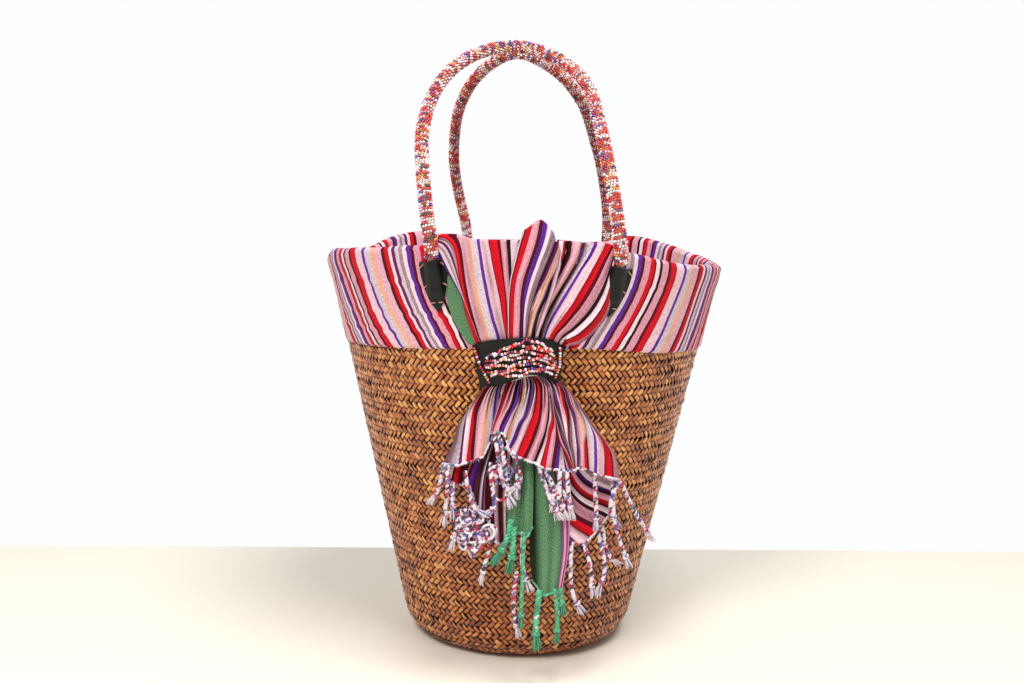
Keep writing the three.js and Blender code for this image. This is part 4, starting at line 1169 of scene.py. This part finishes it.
x, z, stripe, fold, run = drape(SLIVER, 40, 16)
points = onto_wall(x, z, 3.0 + 0.8 * fold)
sliver = cloth("green_sliver", points, "bag", "green_cloth", stripe=stripe, thread=run)
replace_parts(sliver, "green_border_sliver")

# %% [markdown]
# ## Tubes along a line
#
# Threads, stitches and fringe are tubes. To sweep a ring along a curve, each point of the curve needs
# two directions across it that turn as little as possible from one point to the next.

# %% Tubes
def rails(route):
    """Two unit vectors across a curve at each of its points."""
    ahead = np.gradient(route, axis=0)
    ahead = ahead / np.linalg.norm(ahead, axis=1)[:, None]
    side = np.zeros_like(route)
    first = np.cross(ahead[0], (0.0, 0.0, 1.0) if abs(ahead[0][2]) < 0.9 else (1.0, 0.0, 0.0))
    for k, direction in enumerate(ahead):
        across = first - direction * (first @ direction)
        first = across / np.linalg.norm(across)
        side[k] = first
    return side, np.cross(ahead, side)


def tube(route, radius, sides=8):
    """Points of a closed tube along a route, as rings that shrink to a point at both ends."""
    radius = np.broadcast_to(radius, len(route))
    side, up = rails(route)
    turn = np.arange(sides) * 2 * math.pi / sides
    ring = np.cos(turn)[None, :, None] * side[:, None] + np.sin(turn)[None, :, None] * up[:, None]
    return route[:, None] + ring * radius[:, None, None]


class Bundle:
    """Many tubes or beads that end up in one mesh, each with its own tint."""

    def __init__(self):
        self.points, self.faces, self.tints, self.size = [], [], [], 0

    def add(self, points, faces, tint):
        points = np.asarray(points, float).reshape(-1, 3)
        self.points.append(points)
        self.faces.extend((np.asarray(face) + self.size).tolist() for face in faces)
        tint = np.atleast_1d(tint)
        self.tints.append(np.repeat(tint, len(points) // len(tint)))
        self.size += len(points)

    def add_tube(self, route, radius, tint, sides=8):
        rings = tube(np.asarray(route, float), radius, sides)
        count = len(rings)
        caps = [list(range(sides))[::-1], list(range((count - 1) * sides, count * sides))]
        self.add(rings, list(grid(count - 1, sides, closed=True)) + caps, tint)

    def made(self, name, body, slot, material):
        points = np.concatenate(self.points)
        return piece(name, points, self.faces, body, slot, material, {"tint": np.concatenate(self.tints)})


# %% [markdown]
# ## The knotted fringe
#
# The ends of the shawl are finished with cords of three twisted plies, each with a knot near its end
# and a brush of loose threads. They hang as they fell, so the list gives each one its own way down, as
# x and height. Some are knotted into each other, which is drawn as loops thrown about one place.

# %% Fringe cords
FRINGE = [
    ("hem", [(-54.5, 179), (-58.5, 159), (-65.5, 146.5)]),
    ("hem", [(-51.5, 178), (-51, 158.5), (-54, 131)]), ("hem", [(-47, 165), (-46.5, 137)]),
    ("hem", [(-37.5, 175), (-33.5, 156), (-28, 146), (-19.5, 141.5)]),
    ("hem", [(-17.5, 183), (-16.5, 168.5), (-14.5, 148.5), (-22.5, 140.5)]),
    ("hem", [(-29.5, 140), (-42.5, 130), (-48, 112.5)]),
    ("hem", [(-12, 206), (-8.5, 192), (-6, 175), (-2.5, 149)]),
    ("hem", [(-15, 204.5), (-11.5, 187.5), (-8, 169), (1, 151)]),
    ("hem", [(-6, 196), (2.5, 184), (3, 156.5)]), ("hem", [(1.5, 190), (5.5, 169.5), (-4, 160.5)]),
    ("hem", [(19.5, 180.5), (24, 168), (28.5, 156.5), (37.5, 139)]),
    ("hem", [(24, 179), (31.5, 162.5), (30.5, 146.5)]),
    ("hem", [(41, 177), (43, 157.5), (46.5, 139.5)]), ("hem", [(35.5, 177), (36, 156.5), (42, 140.5)]),
    ("hem", [(62.5, 175), (64, 153.5), (65.5, 130)]), ("hem", [(80.5, 167), (76, 147), (83, 130)]),
    ("hem", [(83, 167), (96.5, 140), (111.5, 115.5)]), ("hem", [(77, 167), (80, 133), (92.5, 97)]),
    ("under", [(-14, 128), (-22, 96), (-23.5, 85)]), ("under", [(8, 128), (8.5, 100.5), (15.5, 81)]),
    ("under", [(4, 96), (2, 70.5), (6.5, 44)]), ("under", [(56, 117), (61.5, 98.5), (64, 73.5)]),
    ("under", [(66.5, 127), (73, 97), (68, 74.5)]), ("green", [(38, 83), (40, 71.5), (41.5, 62)]),
    ("under", [(46, 118), (47, 83), (56, 61)]), ("under", [(70, 130), (75, 109), (84.5, 97)]),
    ("thick", [(-1, 138), (-5, 120), (-14.5, 102.5)]), ("thick", [(1, 132), (0.5, 113), (-1, 96)]),
    ("green", [(9, 128), (8.5, 80), (8, 52.5)]), ("thick", [(22, 82), (20, 58.5), (20.5, 35.5)]),
    ("green", [(34, 83), (36.5, 62.5), (36, 40)]),
]
REACH = {"hem": 165.0, "under": 157.5, "green": 160.0, "thick": 161.0}
PLIES, TWIST = 3, 6.5
BRUSH, BRUSH_LENGTH = 22, 10
THICK = 1.35
# Each tangle: its place, its spread in both directions and its number of loops.
TANGLES = [(-32, 129, 19, 17, 40), (-8, 172, 6, 16, 12), (34, 158, 7, 12, 12)]
print("cords", len(FRINGE))


# %% A cord, a frayed hem and a tangle
def mixed(rng, count):
    """Tints along a ply of several yarns: a new one every few points."""
    return np.repeat(rng.random(count), rng.integers(2, 5, count))[:count]


def fringe(bundle, kind, route, rng):
    """One cord: three plies twisted together, a knot, and a tied brush of threads below it."""
    size = THICK if kind == "thick" else 1.0
    x, z = smooth(route, 60).T
    line = round_axis(x, z, REACH[kind] + 1.2 * np.sin(np.linspace(0, 3, 61)))
    run = run_along(line)
    last = int(np.searchsorted(run, run[-1] - BRUSH_LENGTH * size))
    body = line[: last + 1]
    side, up = rails(body)
    for ply in range(PLIES):
        turn = run[: last + 1, None] * 2 * math.pi / (TWIST * size) + ply * 2 * math.pi / PLIES
        centre = body + 0.92 * size * (np.cos(turn) * side + np.sin(turn) * up)
        bundle.add_tube(centre, 0.98 * size, mixed(rng, last + 1), 6)
    middle, down = body[-1], line[-1] - body[-1]
    for ply in range(PLIES):
        turn = np.linspace(0, 2 * math.pi, 11)[:, None] + ply * 1.6
        loop = middle + 1.7 * size * (np.cos(turn) * side[-1] + np.sin(turn) * up[-1])
        loop = loop + [0, 0, 1.0] * ((ply - 1) * np.sin(turn))
        bundle.add_tube(loop, 0.95 * size, mixed(rng, 11), 6)
    for _ in range(BRUSH):
        spread = rng.normal(0, 1.5 * size, 3) * (1, 0.6, 0.7)
        s = np.linspace(0, 1, 6)[:, None]
        strand = middle + down * s + spread * np.sqrt(s)
        bundle.add_tube(strand, np.linspace(0.5, 0.3, 6) * size, rng.random() * 0.6, 4)


def frayed(bundle, hem, rng):
    """Short loose threads and a whipped edge along a hem."""
    length = np.linalg.norm(np.diff(hem, axis=0), axis=1).sum()
    for spot in even(hem, int(length / 1.2)):
        drop = rng.normal(0, 0.7, 3) * (1, 0.5, 0) + (0, 0, -rng.uniform(0.8, 3.0))
        bundle.add_tube(spot + (0, 0, 0.6) + drop * np.array([[0.0], [0.5], [1.0]]), (0.24, 0.2, 0.12),
                        rng.random() * 0.4, 4)
    edge = even(hem, int(length / 0.9))
    edge = edge + rng.normal(0, 0.15, edge.shape)
    bundle.add_tube(edge, rng.uniform(0.6, 1.2, len(edge)), mixed(rng, len(edge)) * 0.9, 6)


def tangle(bundle, x, z, wide, high, count, rng):
    """Cords knotted into each other: closed loops thrown about one place."""
    turn = np.linspace(0, 2 * math.pi, 25)
    for _ in range(count):
        a, b = rng.uniform(2.5, 7, 2)
        cx, cz = x + rng.normal(0, 0.42) * wide, z + rng.normal(0, 0.42) * high
        lean, lift = rng.uniform(0, 6.3, 2)
        px = cx + a * np.cos(turn) * math.cos(lean) - b * np.sin(turn) * math.sin(lean)
        pz = cz + a * np.cos(turn) * math.sin(lean) + b * np.sin(turn) * math.cos(lean)
        reach = REACH["hem"] - 2 + 2.5 * np.sin(turn + lift) + rng.uniform(-1.5, 1.5)
        bundle.add_tube(round_axis(px, pz, reach), 1.05, mixed(rng, 25), 6)


# %% Fringe finishes
def cord_finish(name, *places):
    cotton = Finish(name)
    grain = cotton.noise(cotton.place(), 1500.0, 2.0)
    colour = cotton.ramp(cotton.stored("tint"), *places, interpolation="CONSTANT")
    shaded = cotton.blend((grain * 0.5).clamped(), colour, paint(150, 120, 140))
    return cotton.done(Base_Color=shaded, Roughness=0.9, Specular_IOR_Level=0.2,
                       Normal=cotton.bump(grain, 0.4, 0.0005))


MIXED = [
    (0.0, paint(244, 236, 240)), (0.45, paint(60, 84, 160)), (0.54, paint(226, 196, 208)),
    (0.63, paint(196, 20, 44)), (0.76, paint(34, 22, 34)), (0.88, paint(60, 160, 150)),
    (0.92, paint(140, 110, 180)),
]
EMERALD = [
    (0.0, paint(26, 180, 120)), (0.4, paint(14, 140, 96)), (0.65, paint(70, 206, 146)),
    (0.94, paint(222, 226, 222)),
]
mixed_cotton = cord_finish("fringe_cotton", *MIXED)
emerald_cotton = cord_finish("emerald_cotton", *EMERALD)
print("cord finishes", mixed_cotton.name, emerald_cotton.name)

# %% The fringe
rng = np.random.default_rng(41)
mixed_cords, emerald_cords = Bundle(), Bundle()
for kind, route in FRINGE:
    fringe(emerald_cords if kind in ("green", "thick") else mixed_cords, kind, route, rng)
for x, z, wide, high, count in TANGLES:
    tangle(mixed_cords, x, z, wide, high, count, rng)
for hem in (hem_left, hem_middle, hem_right, end_left, end_right):
    frayed(mixed_cords, hem, rng)
for hem in (end_small, end_large):
    frayed(emerald_cords, hem, rng)
fringe_cords = mixed_cords.made("fringe_cords", "tail", "fringe_cord", mixed_cotton)
green_cords = emerald_cords.made("green_cords", "tail", "green_cord", emerald_cotton)
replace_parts(fringe_cords, *[f"fringe_{k}" for k in list(range(1, 15)) + [19, 20]])
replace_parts(green_cords, *[f"fringe_{k}" for k in range(15, 19)])

# %% What was cut flat
HUNG = [
    (fan_left, FAN_LEFT, [fringe_cords]), (fan_middle, FAN_MIDDLE, []), (fan_right, FAN_RIGHT, []),
    (layer_left, UNDER_LEFT, []), (layer_right, UNDER_RIGHT, []), (green_small, GREEN_SMALL, []),
    (green_large, GREEN_LARGE, [green_cords]),
]
cloth_sheet(NECK)
for thing, threads, cords in HUNG:
    cloth_sheet(threads)
cloth_sheet(SLIVER)

# %% [markdown]
# ## Leather
#
# The keeper and the four tabs are cut from black leather. Each is two grids of points, the outer face
# and the back, closed by a ring between them that stands out a little, so the cut edge is rounded.

# %% Leather slabs
def slab(front, ring, back):
    """Points and faces of a thin solid: two grids and a ring of points round their edges."""
    rows, cols = front.shape[:2]
    index = np.arange(rows * cols).reshape(rows, cols)
    border = np.concatenate([index[0], index[1:, -1], index[-1, -2::-1], index[-2:0:-1, 0]])
    points = np.concatenate([front.reshape(-1, 3), back.reshape(-1, 3), ring.reshape(-1, 3)[border]])
    size, count = rows * cols, len(border)
    face = grid(rows - 1, cols - 1)
    here, after = np.arange(count), (np.arange(count) + 1) % count
    outer = np.stack([border[here], 2 * size + here, 2 * size + after, border[after]], 1)
    inner = np.stack([2 * size + here, size + border[here], size + border[after], 2 * size + after], 1)
    return points, np.concatenate([face[:, ::-1], face + size, outer[:, ::-1], inner[:, ::-1]])


hide = Finish("black_leather")
pores = hide.noise(hide.place(), 700.0, 4.0)
scuffs = hide.noise(hide.place(), 90.0, 3.0)
hide_colour = hide.ramp(scuffs, (0.35, paint(2, 4, 4)), (0.7, paint(18, 22, 21)))
black_leather = hide.done(Base_Color=hide_colour, Roughness=0.26 + scuffs * 0.3, Specular_IOR_Level=0.22,
                          Normal=hide.bump(pores + scuffs * 2.5, 0.55, 0.0012))

# %% The keeper's leather
INSET = 0.012
s = np.linspace(-1, 1, 90)[None]
v = np.linspace(0, 1, 26)[:, None]
inset_s, inset_v = s * 0.992, INSET + (1 - 2 * INSET) * v
ripple = 0.35 * np.sin(5 * s + 3 * v) * (1 - s * s)
front_face = on_keeper(inset_s, inset_v, 2.2 + ripple)
back_face = on_keeper(inset_s, inset_v, 0.0)
skin = slab(front_face, on_keeper(s, v + 0 * s, 1.2), back_face)
keeper = piece("keeper", *skin, "bag", "leather", black_leather)
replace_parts(keeper, "keeper_leather")

# %% The pale cut edge that shows at the keeper's lower side
raw = Finish("raw_leather_edge")
fibres = raw.noise(raw.place(), 900.0)
raw_colour = raw.ramp(fibres, (0.3, paint(120, 116, 104)), (0.7, paint(204, 198, 184)))
raw_edge = raw.done(Base_Color=raw_colour, Roughness=0.8)
edge_s = np.linspace(-0.2, 0.45, 30)
thickness = 0.75 * np.sin(np.linspace(0.2, math.pi - 0.2, 30)) + 0.1
cut_edge = Bundle()
cut_edge.add_tube(on_keeper(edge_s, 1.0, 1.6 + 0 * edge_s), thickness, 0.5, 8)
cut_edge.made("keeper_cut_edge", "bag", "leather", raw_edge)

# %% [markdown]
# ## Tabs
#
# Each handle's two ends are sewn in under a pointed tab. The leather rises over the rope's end and
# then lies flat. Copper thread holds it with a few long stitches.

# %% The shape of a tab
TAB_LENGTH = 39.0
# How far down the tab, as a share of its length, and half its width there.
TAB_OUTLINE = (0, 0.05, 0.25, 0.45, 0.62, 0.8, 0.97, 1), (10.0, 10.9, 10.7, 9.6, 7.8, 5.6, 1.2, 0.5)
ROPE = 3.6
FOOT_OFF = CLOTH_OFF + 5.75
BELOW_RIM = 12


def tab_foot(x, back):
    """The height of a tab's top edge, 12 mm below the rim."""
    angle = math.asin(x / wall_radius(RIM_SIDE))
    return float(rim_height(math.pi - angle if back else angle)) - BELOW_RIM


def tab(name, x, tilt):
    """A leather tab at x, turned round to the back for a back one, with its copper stitches."""
    back = "back" in name
    turned = -1 if back else 1
    slant = math.radians(tilt * turned)
    top = tab_foot(x, back)

    def place(across, down, off):
        px = x * turned + across * math.cos(slant) + down * math.sin(slant)
        points = onto_wall(px, top + across * math.sin(slant) - down * math.cos(slant), off)
        return points * (turned, turned, 1)

    def hump(across, down):
        deep = 0.5 * ROPE
        share = np.clip(down / 20, 0, 1)
        rope_off = FOOT_OFF + (CLOTH_OFF + 0.3 + deep - FOOT_OFF) * share
        crest = rope_off + ROPE + (deep - ROPE) * share + 0.6 - CLOTH_OFF
        fade = eased(np.clip((32 - down) / 10, 0, 1))
        return crest * fade * np.clip(1 - (across / (2.1 * ROPE)) ** 4, 0, 1)

    def face(off, grow):
        v = np.linspace(0, 1, 48)[:, None]
        u = np.linspace(-1, 1, 33)[None]
        half = np.interp(v, *TAB_OUTLINE)
        across = (half - 0.35 + grow) * u
        down = TAB_LENGTH * v + (0.35 - grow) * (1 - 2 * v) - 0.8 * (u * u) * (1 - v) ** 4
        return place(across, down, CLOTH_OFF + hump(across, down) + off)

    skin = slab(face(1.9, 0.0), face(1.0, 0.35), face(0.1, 0.0))
    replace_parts(piece(name, *skin, "bag", "leather", black_leather), name)
    threads = Bundle()
    t = np.linspace(-1, 1, 9)
    for across, down, lean, size in SEWN:
        step = t * size / 2
        a, d = across + step * math.cos(lean), down + step * math.sin(lean)
        off = CLOTH_OFF + hump(a, d) + 2.2 + 0.5 * (1 - t * t) - 0.6 * t ** 6
        threads.add_tube(place(a, d, off), 0.42, 0.5, 6)
    threads.made(name + "_stitches", "bag", "leather", copper_thread)


# %% Tabs and stitches
copper = Finish("copper_thread")
copper_colour = copper.ramp(copper.noise(copper.place(), 900.0), (0.3, paint(196, 120, 84)),
                            (0.7, paint(238, 176, 140)))
copper_thread = copper.done(Base_Color=copper_colour, Roughness=0.5)
# Each stitch: its place across and down the tab, its lean in radians and its length.
SEWN = [(-9, 3, 2.4, 5.5), (9, 3, 0.7, 5.5), (-8.2, 19, 2.5, 3.6), (8.2, 18, 0.6, 3.6),
        (-3.2, 31.5, 0.0, 3.6), (3, 31.5, 0.0, 3.6)]
FEET = {"front": (-65, 77), "back": (-66, 80)}
TILTS = {"front": (7, -11), "back": (9, -9)}
for side in FEET:
    for way, x, tilt in zip(("left", "right"), FEET[side], TILTS[side]):
        tab(f"tab_{side}_{way}", x, tilt)

# %% [markdown]
# ## Seed beads
#
# A seed bead is a small ball of glass, a little flat along its string. The keeper has nine loose
# strings and an upright row at each end. The handles are wound closely with one long string, so its
# beads follow a helix round the rope. Every bead stores its own tint.

# %% Beads along a line
BEAD = 2.2
# Half a bead's length along its hole, for a radius of 1.
HALF_LENGTH = 0.8


def ball():
    """The points and faces of one bead of unit radius, its hole along the first axis."""
    rings, sides = 3, 8
    points = [(-HALF_LENGTH, 0, 0)]
    for k in range(rings):
        lat = math.pi * (k + 1) / (rings + 1)
        along, wide = -HALF_LENGTH * math.cos(lat), math.sin(lat)
        for j in range(sides):
            turn = 2 * math.pi * j / sides
            points.append((along, wide * math.cos(turn), wide * math.sin(turn)))
    points.append((HALF_LENGTH, 0, 0))
    faces = []
    for j in range(sides):
        after = (j + 1) % sides
        faces.append((0, 1 + after, 1 + j))
        faces.append((len(points) - 1, 1 + 2 * sides + j, 1 + 2 * sides + after))
        for k in range(rings - 1):
            low = 1 + k * sides
            faces.append((low + j, low + after, low + sides + after, low + sides + j))
    return np.array(points), faces


BALL, BALL_FACES = ball()


def bead_cells(count):
    """A flat place for each point of count beads."""
    side = math.ceil(math.sqrt(count))
    turn = np.arctan2(BALL[:, 2], BALL[:, 1])
    far = 0.12 + 0.34 * (BALL[:, 0] + HALF_LENGTH) / (2 * HALF_LENGTH)
    u, v = 0.5 + far * np.cos(turn), 0.5 + far * np.sin(turn)
    cell = np.arange(count)[:, None]
    return np.stack([(cell % side + u[None]) / side, (cell // side + v[None]) / side], -1)


def beads(name, centres, ahead, tints, body, rng, across=BEAD):
    """One mesh of many beads at the given centres, their holes along the directions in ahead."""
    ahead = ahead / np.linalg.norm(ahead, axis=1)[:, None]
    helper = np.where(np.abs(ahead[:, 2:]) < 0.9, (0.0, 0.0, 1.0), (1.0, 0.0, 0.0))
    side = np.cross(helper, ahead)
    side = side / np.linalg.norm(side, axis=1)[:, None]
    up = np.cross(ahead, side)
    size = across / 2 * rng.uniform(0.9, 1.06, len(centres))[:, None, None]
    local = BALL[None, :, 0, None] * ahead[:, None] + BALL[None, :, 1, None] * side[:, None]
    local = local + BALL[None, :, 2, None] * up[:, None]
    points = centres[:, None] + local * size
    shifts = np.arange(len(centres)) * len(BALL)
    faces = [tuple(int(p + shift) for p in face) for shift in shifts for face in BALL_FACES]
    tint = np.repeat(tints, len(BALL))
    chart = bead_cells(len(centres))
    return piece(name, points, faces, body, "seed_beads", seed_glass, {"tint": tint}, chart)


def spaced(route, gap):
    """Points an equal gap apart along a dense route, and the direction at each."""
    run = run_along(route)
    at = np.arange(0, run[-1], gap)
    return picked(at, run, route), picked(at, run, np.gradient(route, axis=0))


# %% Glass of many colours
# Each colour of bead starts at its own tint: reds, white, pink, violets, yellows and black.
BEAD_COLOURS = [
    (0.0, paint(214, 18, 30)), (0.28, paint(150, 10, 26)), (0.34, paint(232, 66, 44)),
    (0.42, paint(244, 234, 236)), (0.68, paint(238, 188, 208)), (0.77, paint(116, 66, 160)),
    (0.82, paint(66, 62, 150)), (0.86, paint(242, 156, 62)), (0.92, paint(238, 204, 150)),
    (0.96, paint(44, 22, 30)),
]
glass = Finish("seed_glass")
bead_colour = glass.ramp(glass.stored("tint"), *BEAD_COLOURS, interpolation="CONSTANT")
seed_glass = glass.done(Base_Color=bead_colour, Roughness=0.18, Specular_IOR_Level=0.6, Coat_Weight=0.5,
                        Coat_Roughness=0.08)
print("bead points", len(BALL), "faces", len(BALL_FACES))

# %% Strings on the keeper
# Where each string starts and ends on the keeper, from the upper one to the lower.
STRANDS = [(-0.3, 0.72), (-0.52, 0.74), (-0.7, 0.8), (-0.74, 0.84), (-0.76, 0.86), (-0.76, 0.87),
           (-0.74, 0.86), (-0.66, 0.84), (-0.5, 0.78)]
rng = np.random.default_rng(51)
spots, aheads = [], []
for k, (first, last) in enumerate(STRANDS):
    share = np.linspace(0, 1, 200)
    s = first + (last - first) * share
    drawn_in = 1 - 0.3 * (2 * share - 1) ** 2
    level = 0.5 + (0.1 + 0.8 * k / 8 - 0.5) * drawn_in
    wave = 0.03 * np.sin(9 * share + 2.1 * k) + 0.02 * np.sin(23 * share + 1.3 * k)
    route = on_keeper(s, level + wave, 3.5 + 0.5 * np.sin(14 * share + k))
    centres, ahead = spaced(route, 2.15)
    spots.append(centres + rng.normal(0, 0.2, centres.shape))
    aheads.append(ahead)
for rows_s in ((-0.955, -0.9, -0.74), (0.9, 0.95, 0.86)):
    route = on_keeper(np.interp(np.linspace(0, 1, 80), (0, 0.5, 1), rows_s), np.linspace(0.08, 0.9, 80), 3.3)
    centres, ahead = spaced(route, 2.2)
    spots.append(centres + rng.normal(0, 0.14, centres.shape))
    aheads.append(ahead)
spots, aheads = np.concatenate(spots), np.concatenate(aheads)
TINTS = (0.5, 0.1, 0.3, 0.77, 0.83, 0.88, 0.7, 0.97)
SHARES = (0.22, 0.2, 0.18, 0.12, 0.06, 0.1, 0.08, 0.04)
tints = rng.choice(TINTS, len(spots), p=SHARES)
keeper_beads = beads("keeper_beads", spots, aheads, tints, "bag", rng, across=2.6)
strings = [f"keeper_strand_{k + 1}" for k in range(len(STRANDS))]
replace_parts(keeper_beads, "keeper_row_left", "keeper_row_right", *strings)

# %% [markdown]
# ## The handles
#
# Each handle starts in its tabs, follows the wall up past the rim and then arches over. The line of
# the rope is the imported model's own: the same points and the same kind of curve. A handle folds down
# about a line in front of its tabs, and the real rope bends there.

# %% Handle lines
def flow(points, steps):
    """A centripetal Catmull-Rom curve through points, with steps points for each span."""
    points = np.asarray(points, float)
    points = np.concatenate([[2 * points[0] - points[1]], points, [2 * points[-1] - points[-2]]])
    t = np.linspace(0, 1, steps, endpoint=False)[:, None]
    spans = []
    for a, b, c, d in zip(points, points[1:], points[2:], points[3:]):
        before, here, after = (math.sqrt(np.linalg.norm(q - p)) for p, q in ((a, b), (b, c), (c, d)))
        first = here * ((b - a) / before - (c - a) / (before + here) + (c - b) / here)
        last = here * ((c - b) / here - (d - b) / (here + after) + (d - c) / after)
        square, cube = 3 * (c - b) - 2 * first - last, 2 * (b - c) + first + last
        spans.append(b + first * t + square * t ** 2 + cube * t ** 3)
    return np.concatenate(spans + [points[-2:-1]])


# The arches' places across the bag, with the share of the height from foot to crown.
ARCHES = {
    "front": [(-67, 0.066), (-73, 0.294), (-77, 0.517), (-69, 0.763), (-45, 0.938), (-13, 1), (22, 0.932),
              (49, 0.774), (60, 0.552), (68, 0.306), (75, 0.077)],
    "back": [(-68, 0.085), (-76, 0.307), (-78, 0.505), (-67, 0.769), (-41, 0.934), (-11, 1), (21, 0.937),
             (48, 0.796), (63, 0.601), (74, 0.385), (80, 0.157)],
}
HANDLE_TOP = 520.5
ABOVE_TAB = 1.8
STRAIGHT = 12
CROWN_DEPTH = 18


def handle_line(side):
    """The line of one handle's rope, from foot to foot."""
    back = side == "back"
    feet = [(x, tab_foot(x, back) + ABOVE_TAB) for x in FEET[side]]
    start = max(z for x, z in feet) + STRAIGHT
    route = [feet[0], (feet[0][0], feet[0][1] + STRAIGHT)]
    route += [(x, start + (HANDLE_TOP - start) * share) for x, share in ARCHES[side]]
    route += [(feet[1][0], feet[1][1] + STRAIGHT), feet[1]]
    line = []
    for x, z in route:
        foot_x, foot_z = feet[0] if x < 0 else feet[1]
        bend = foot_z - ABOVE_TAB + STRAIGHT + 6
        t = max(0, (z - bend) / (HANDLE_TOP - bend))
        near = math.sqrt((wall_radius(z) + FOOT_OFF) ** 2 - x * x)
        low = math.sqrt((wall_radius(bend) + FOOT_OFF) ** 2 - foot_x * foot_x)
        depth = near if z < bend else CROWN_DEPTH + (low - CROWN_DEPTH) * (1 - t * t)
        line.append((x, depth if back else -depth, z))
    return flow(line, 40)


lines = {side: handle_line(side) for side in FEET}
print("handles of", {side: round(float(run_along(line)[-1])) for side, line in lines.items()}, "mm")


# %% Beads wound on the handles
BEND = 0.034


def bend_at_foot(thing, line):
    """Bakes the piece's placement into its points; the height 34 mm above the foot is worked out and not
    used.
    """
    foot = line[:, 2].min() / 1000
    foot + BEND
    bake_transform(thing)


def wound(name, line, seed):
    """A string of beads wound round a rope, in runs of one or a few beads of each colour."""
    rng = np.random.default_rng(seed)
    run = run_along(line)
    side, up = rails(line)
    reach, rise, gap = 4.6, 2.12, 2.28
    per_turn = 2 * math.pi * reach / gap
    count = int((run[-1] - 2.0) / rise * per_turn)
    index = np.arange(count)
    at = 1.0 + index * rise / per_turn
    turn = index * 2 * math.pi / per_turn + 0.25 * np.sin(at / 23)
    centre, a, b = (picked(at, run, rows) for rows in (line, side, up))
    reach = reach + rng.normal(0, 0.12, count)
    out = np.cos(turn)[:, None] * a + np.sin(turn)[:, None] * b
    centres = centre + out * reach[:, None]
    ahead = np.gradient(centres, axis=0)
    runs = np.repeat(rng.random(count), rng.integers(1, 4, count))[:count]
    return beads(name, centres, ahead, runs, None, rng)


# %% The two handles
fibre = Finish("natural_rope")
lay = fibre.noise(fibre.place(), 320.0, 4.0)
rope_colour = fibre.ramp(lay, (0.3, paint(150, 122, 88)), (0.7, paint(206, 186, 152)))
natural_rope = fibre.done(Base_Color=rope_colour, Roughness=0.9, Normal=fibre.bump(lay, 0.5, 0.001))
for side, seed in (("front", 61), ("back", 62)):
    string = wound(side + "_handle_beads", lines[side], seed)
    strand = Bundle()
    strand.add_tube(lines[side], ROPE, 0.5, 12)
    rope = strand.made(side + "_handle_rope", None, "rope", natural_rope)
    for thing, node in ((string, "handle_beads_" + side), (rope, "handle_rope_" + side)):
        bend_at_foot(thing, lines[side])
        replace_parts(thing, node)

# %% The ropes' ends
ends = [node for name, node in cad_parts.items() if name.startswith("rope_end")]
for node in ends:
    node.data.materials.clear()
    node.data.materials.append(natural_rope)
print("rope ends", len(ends))
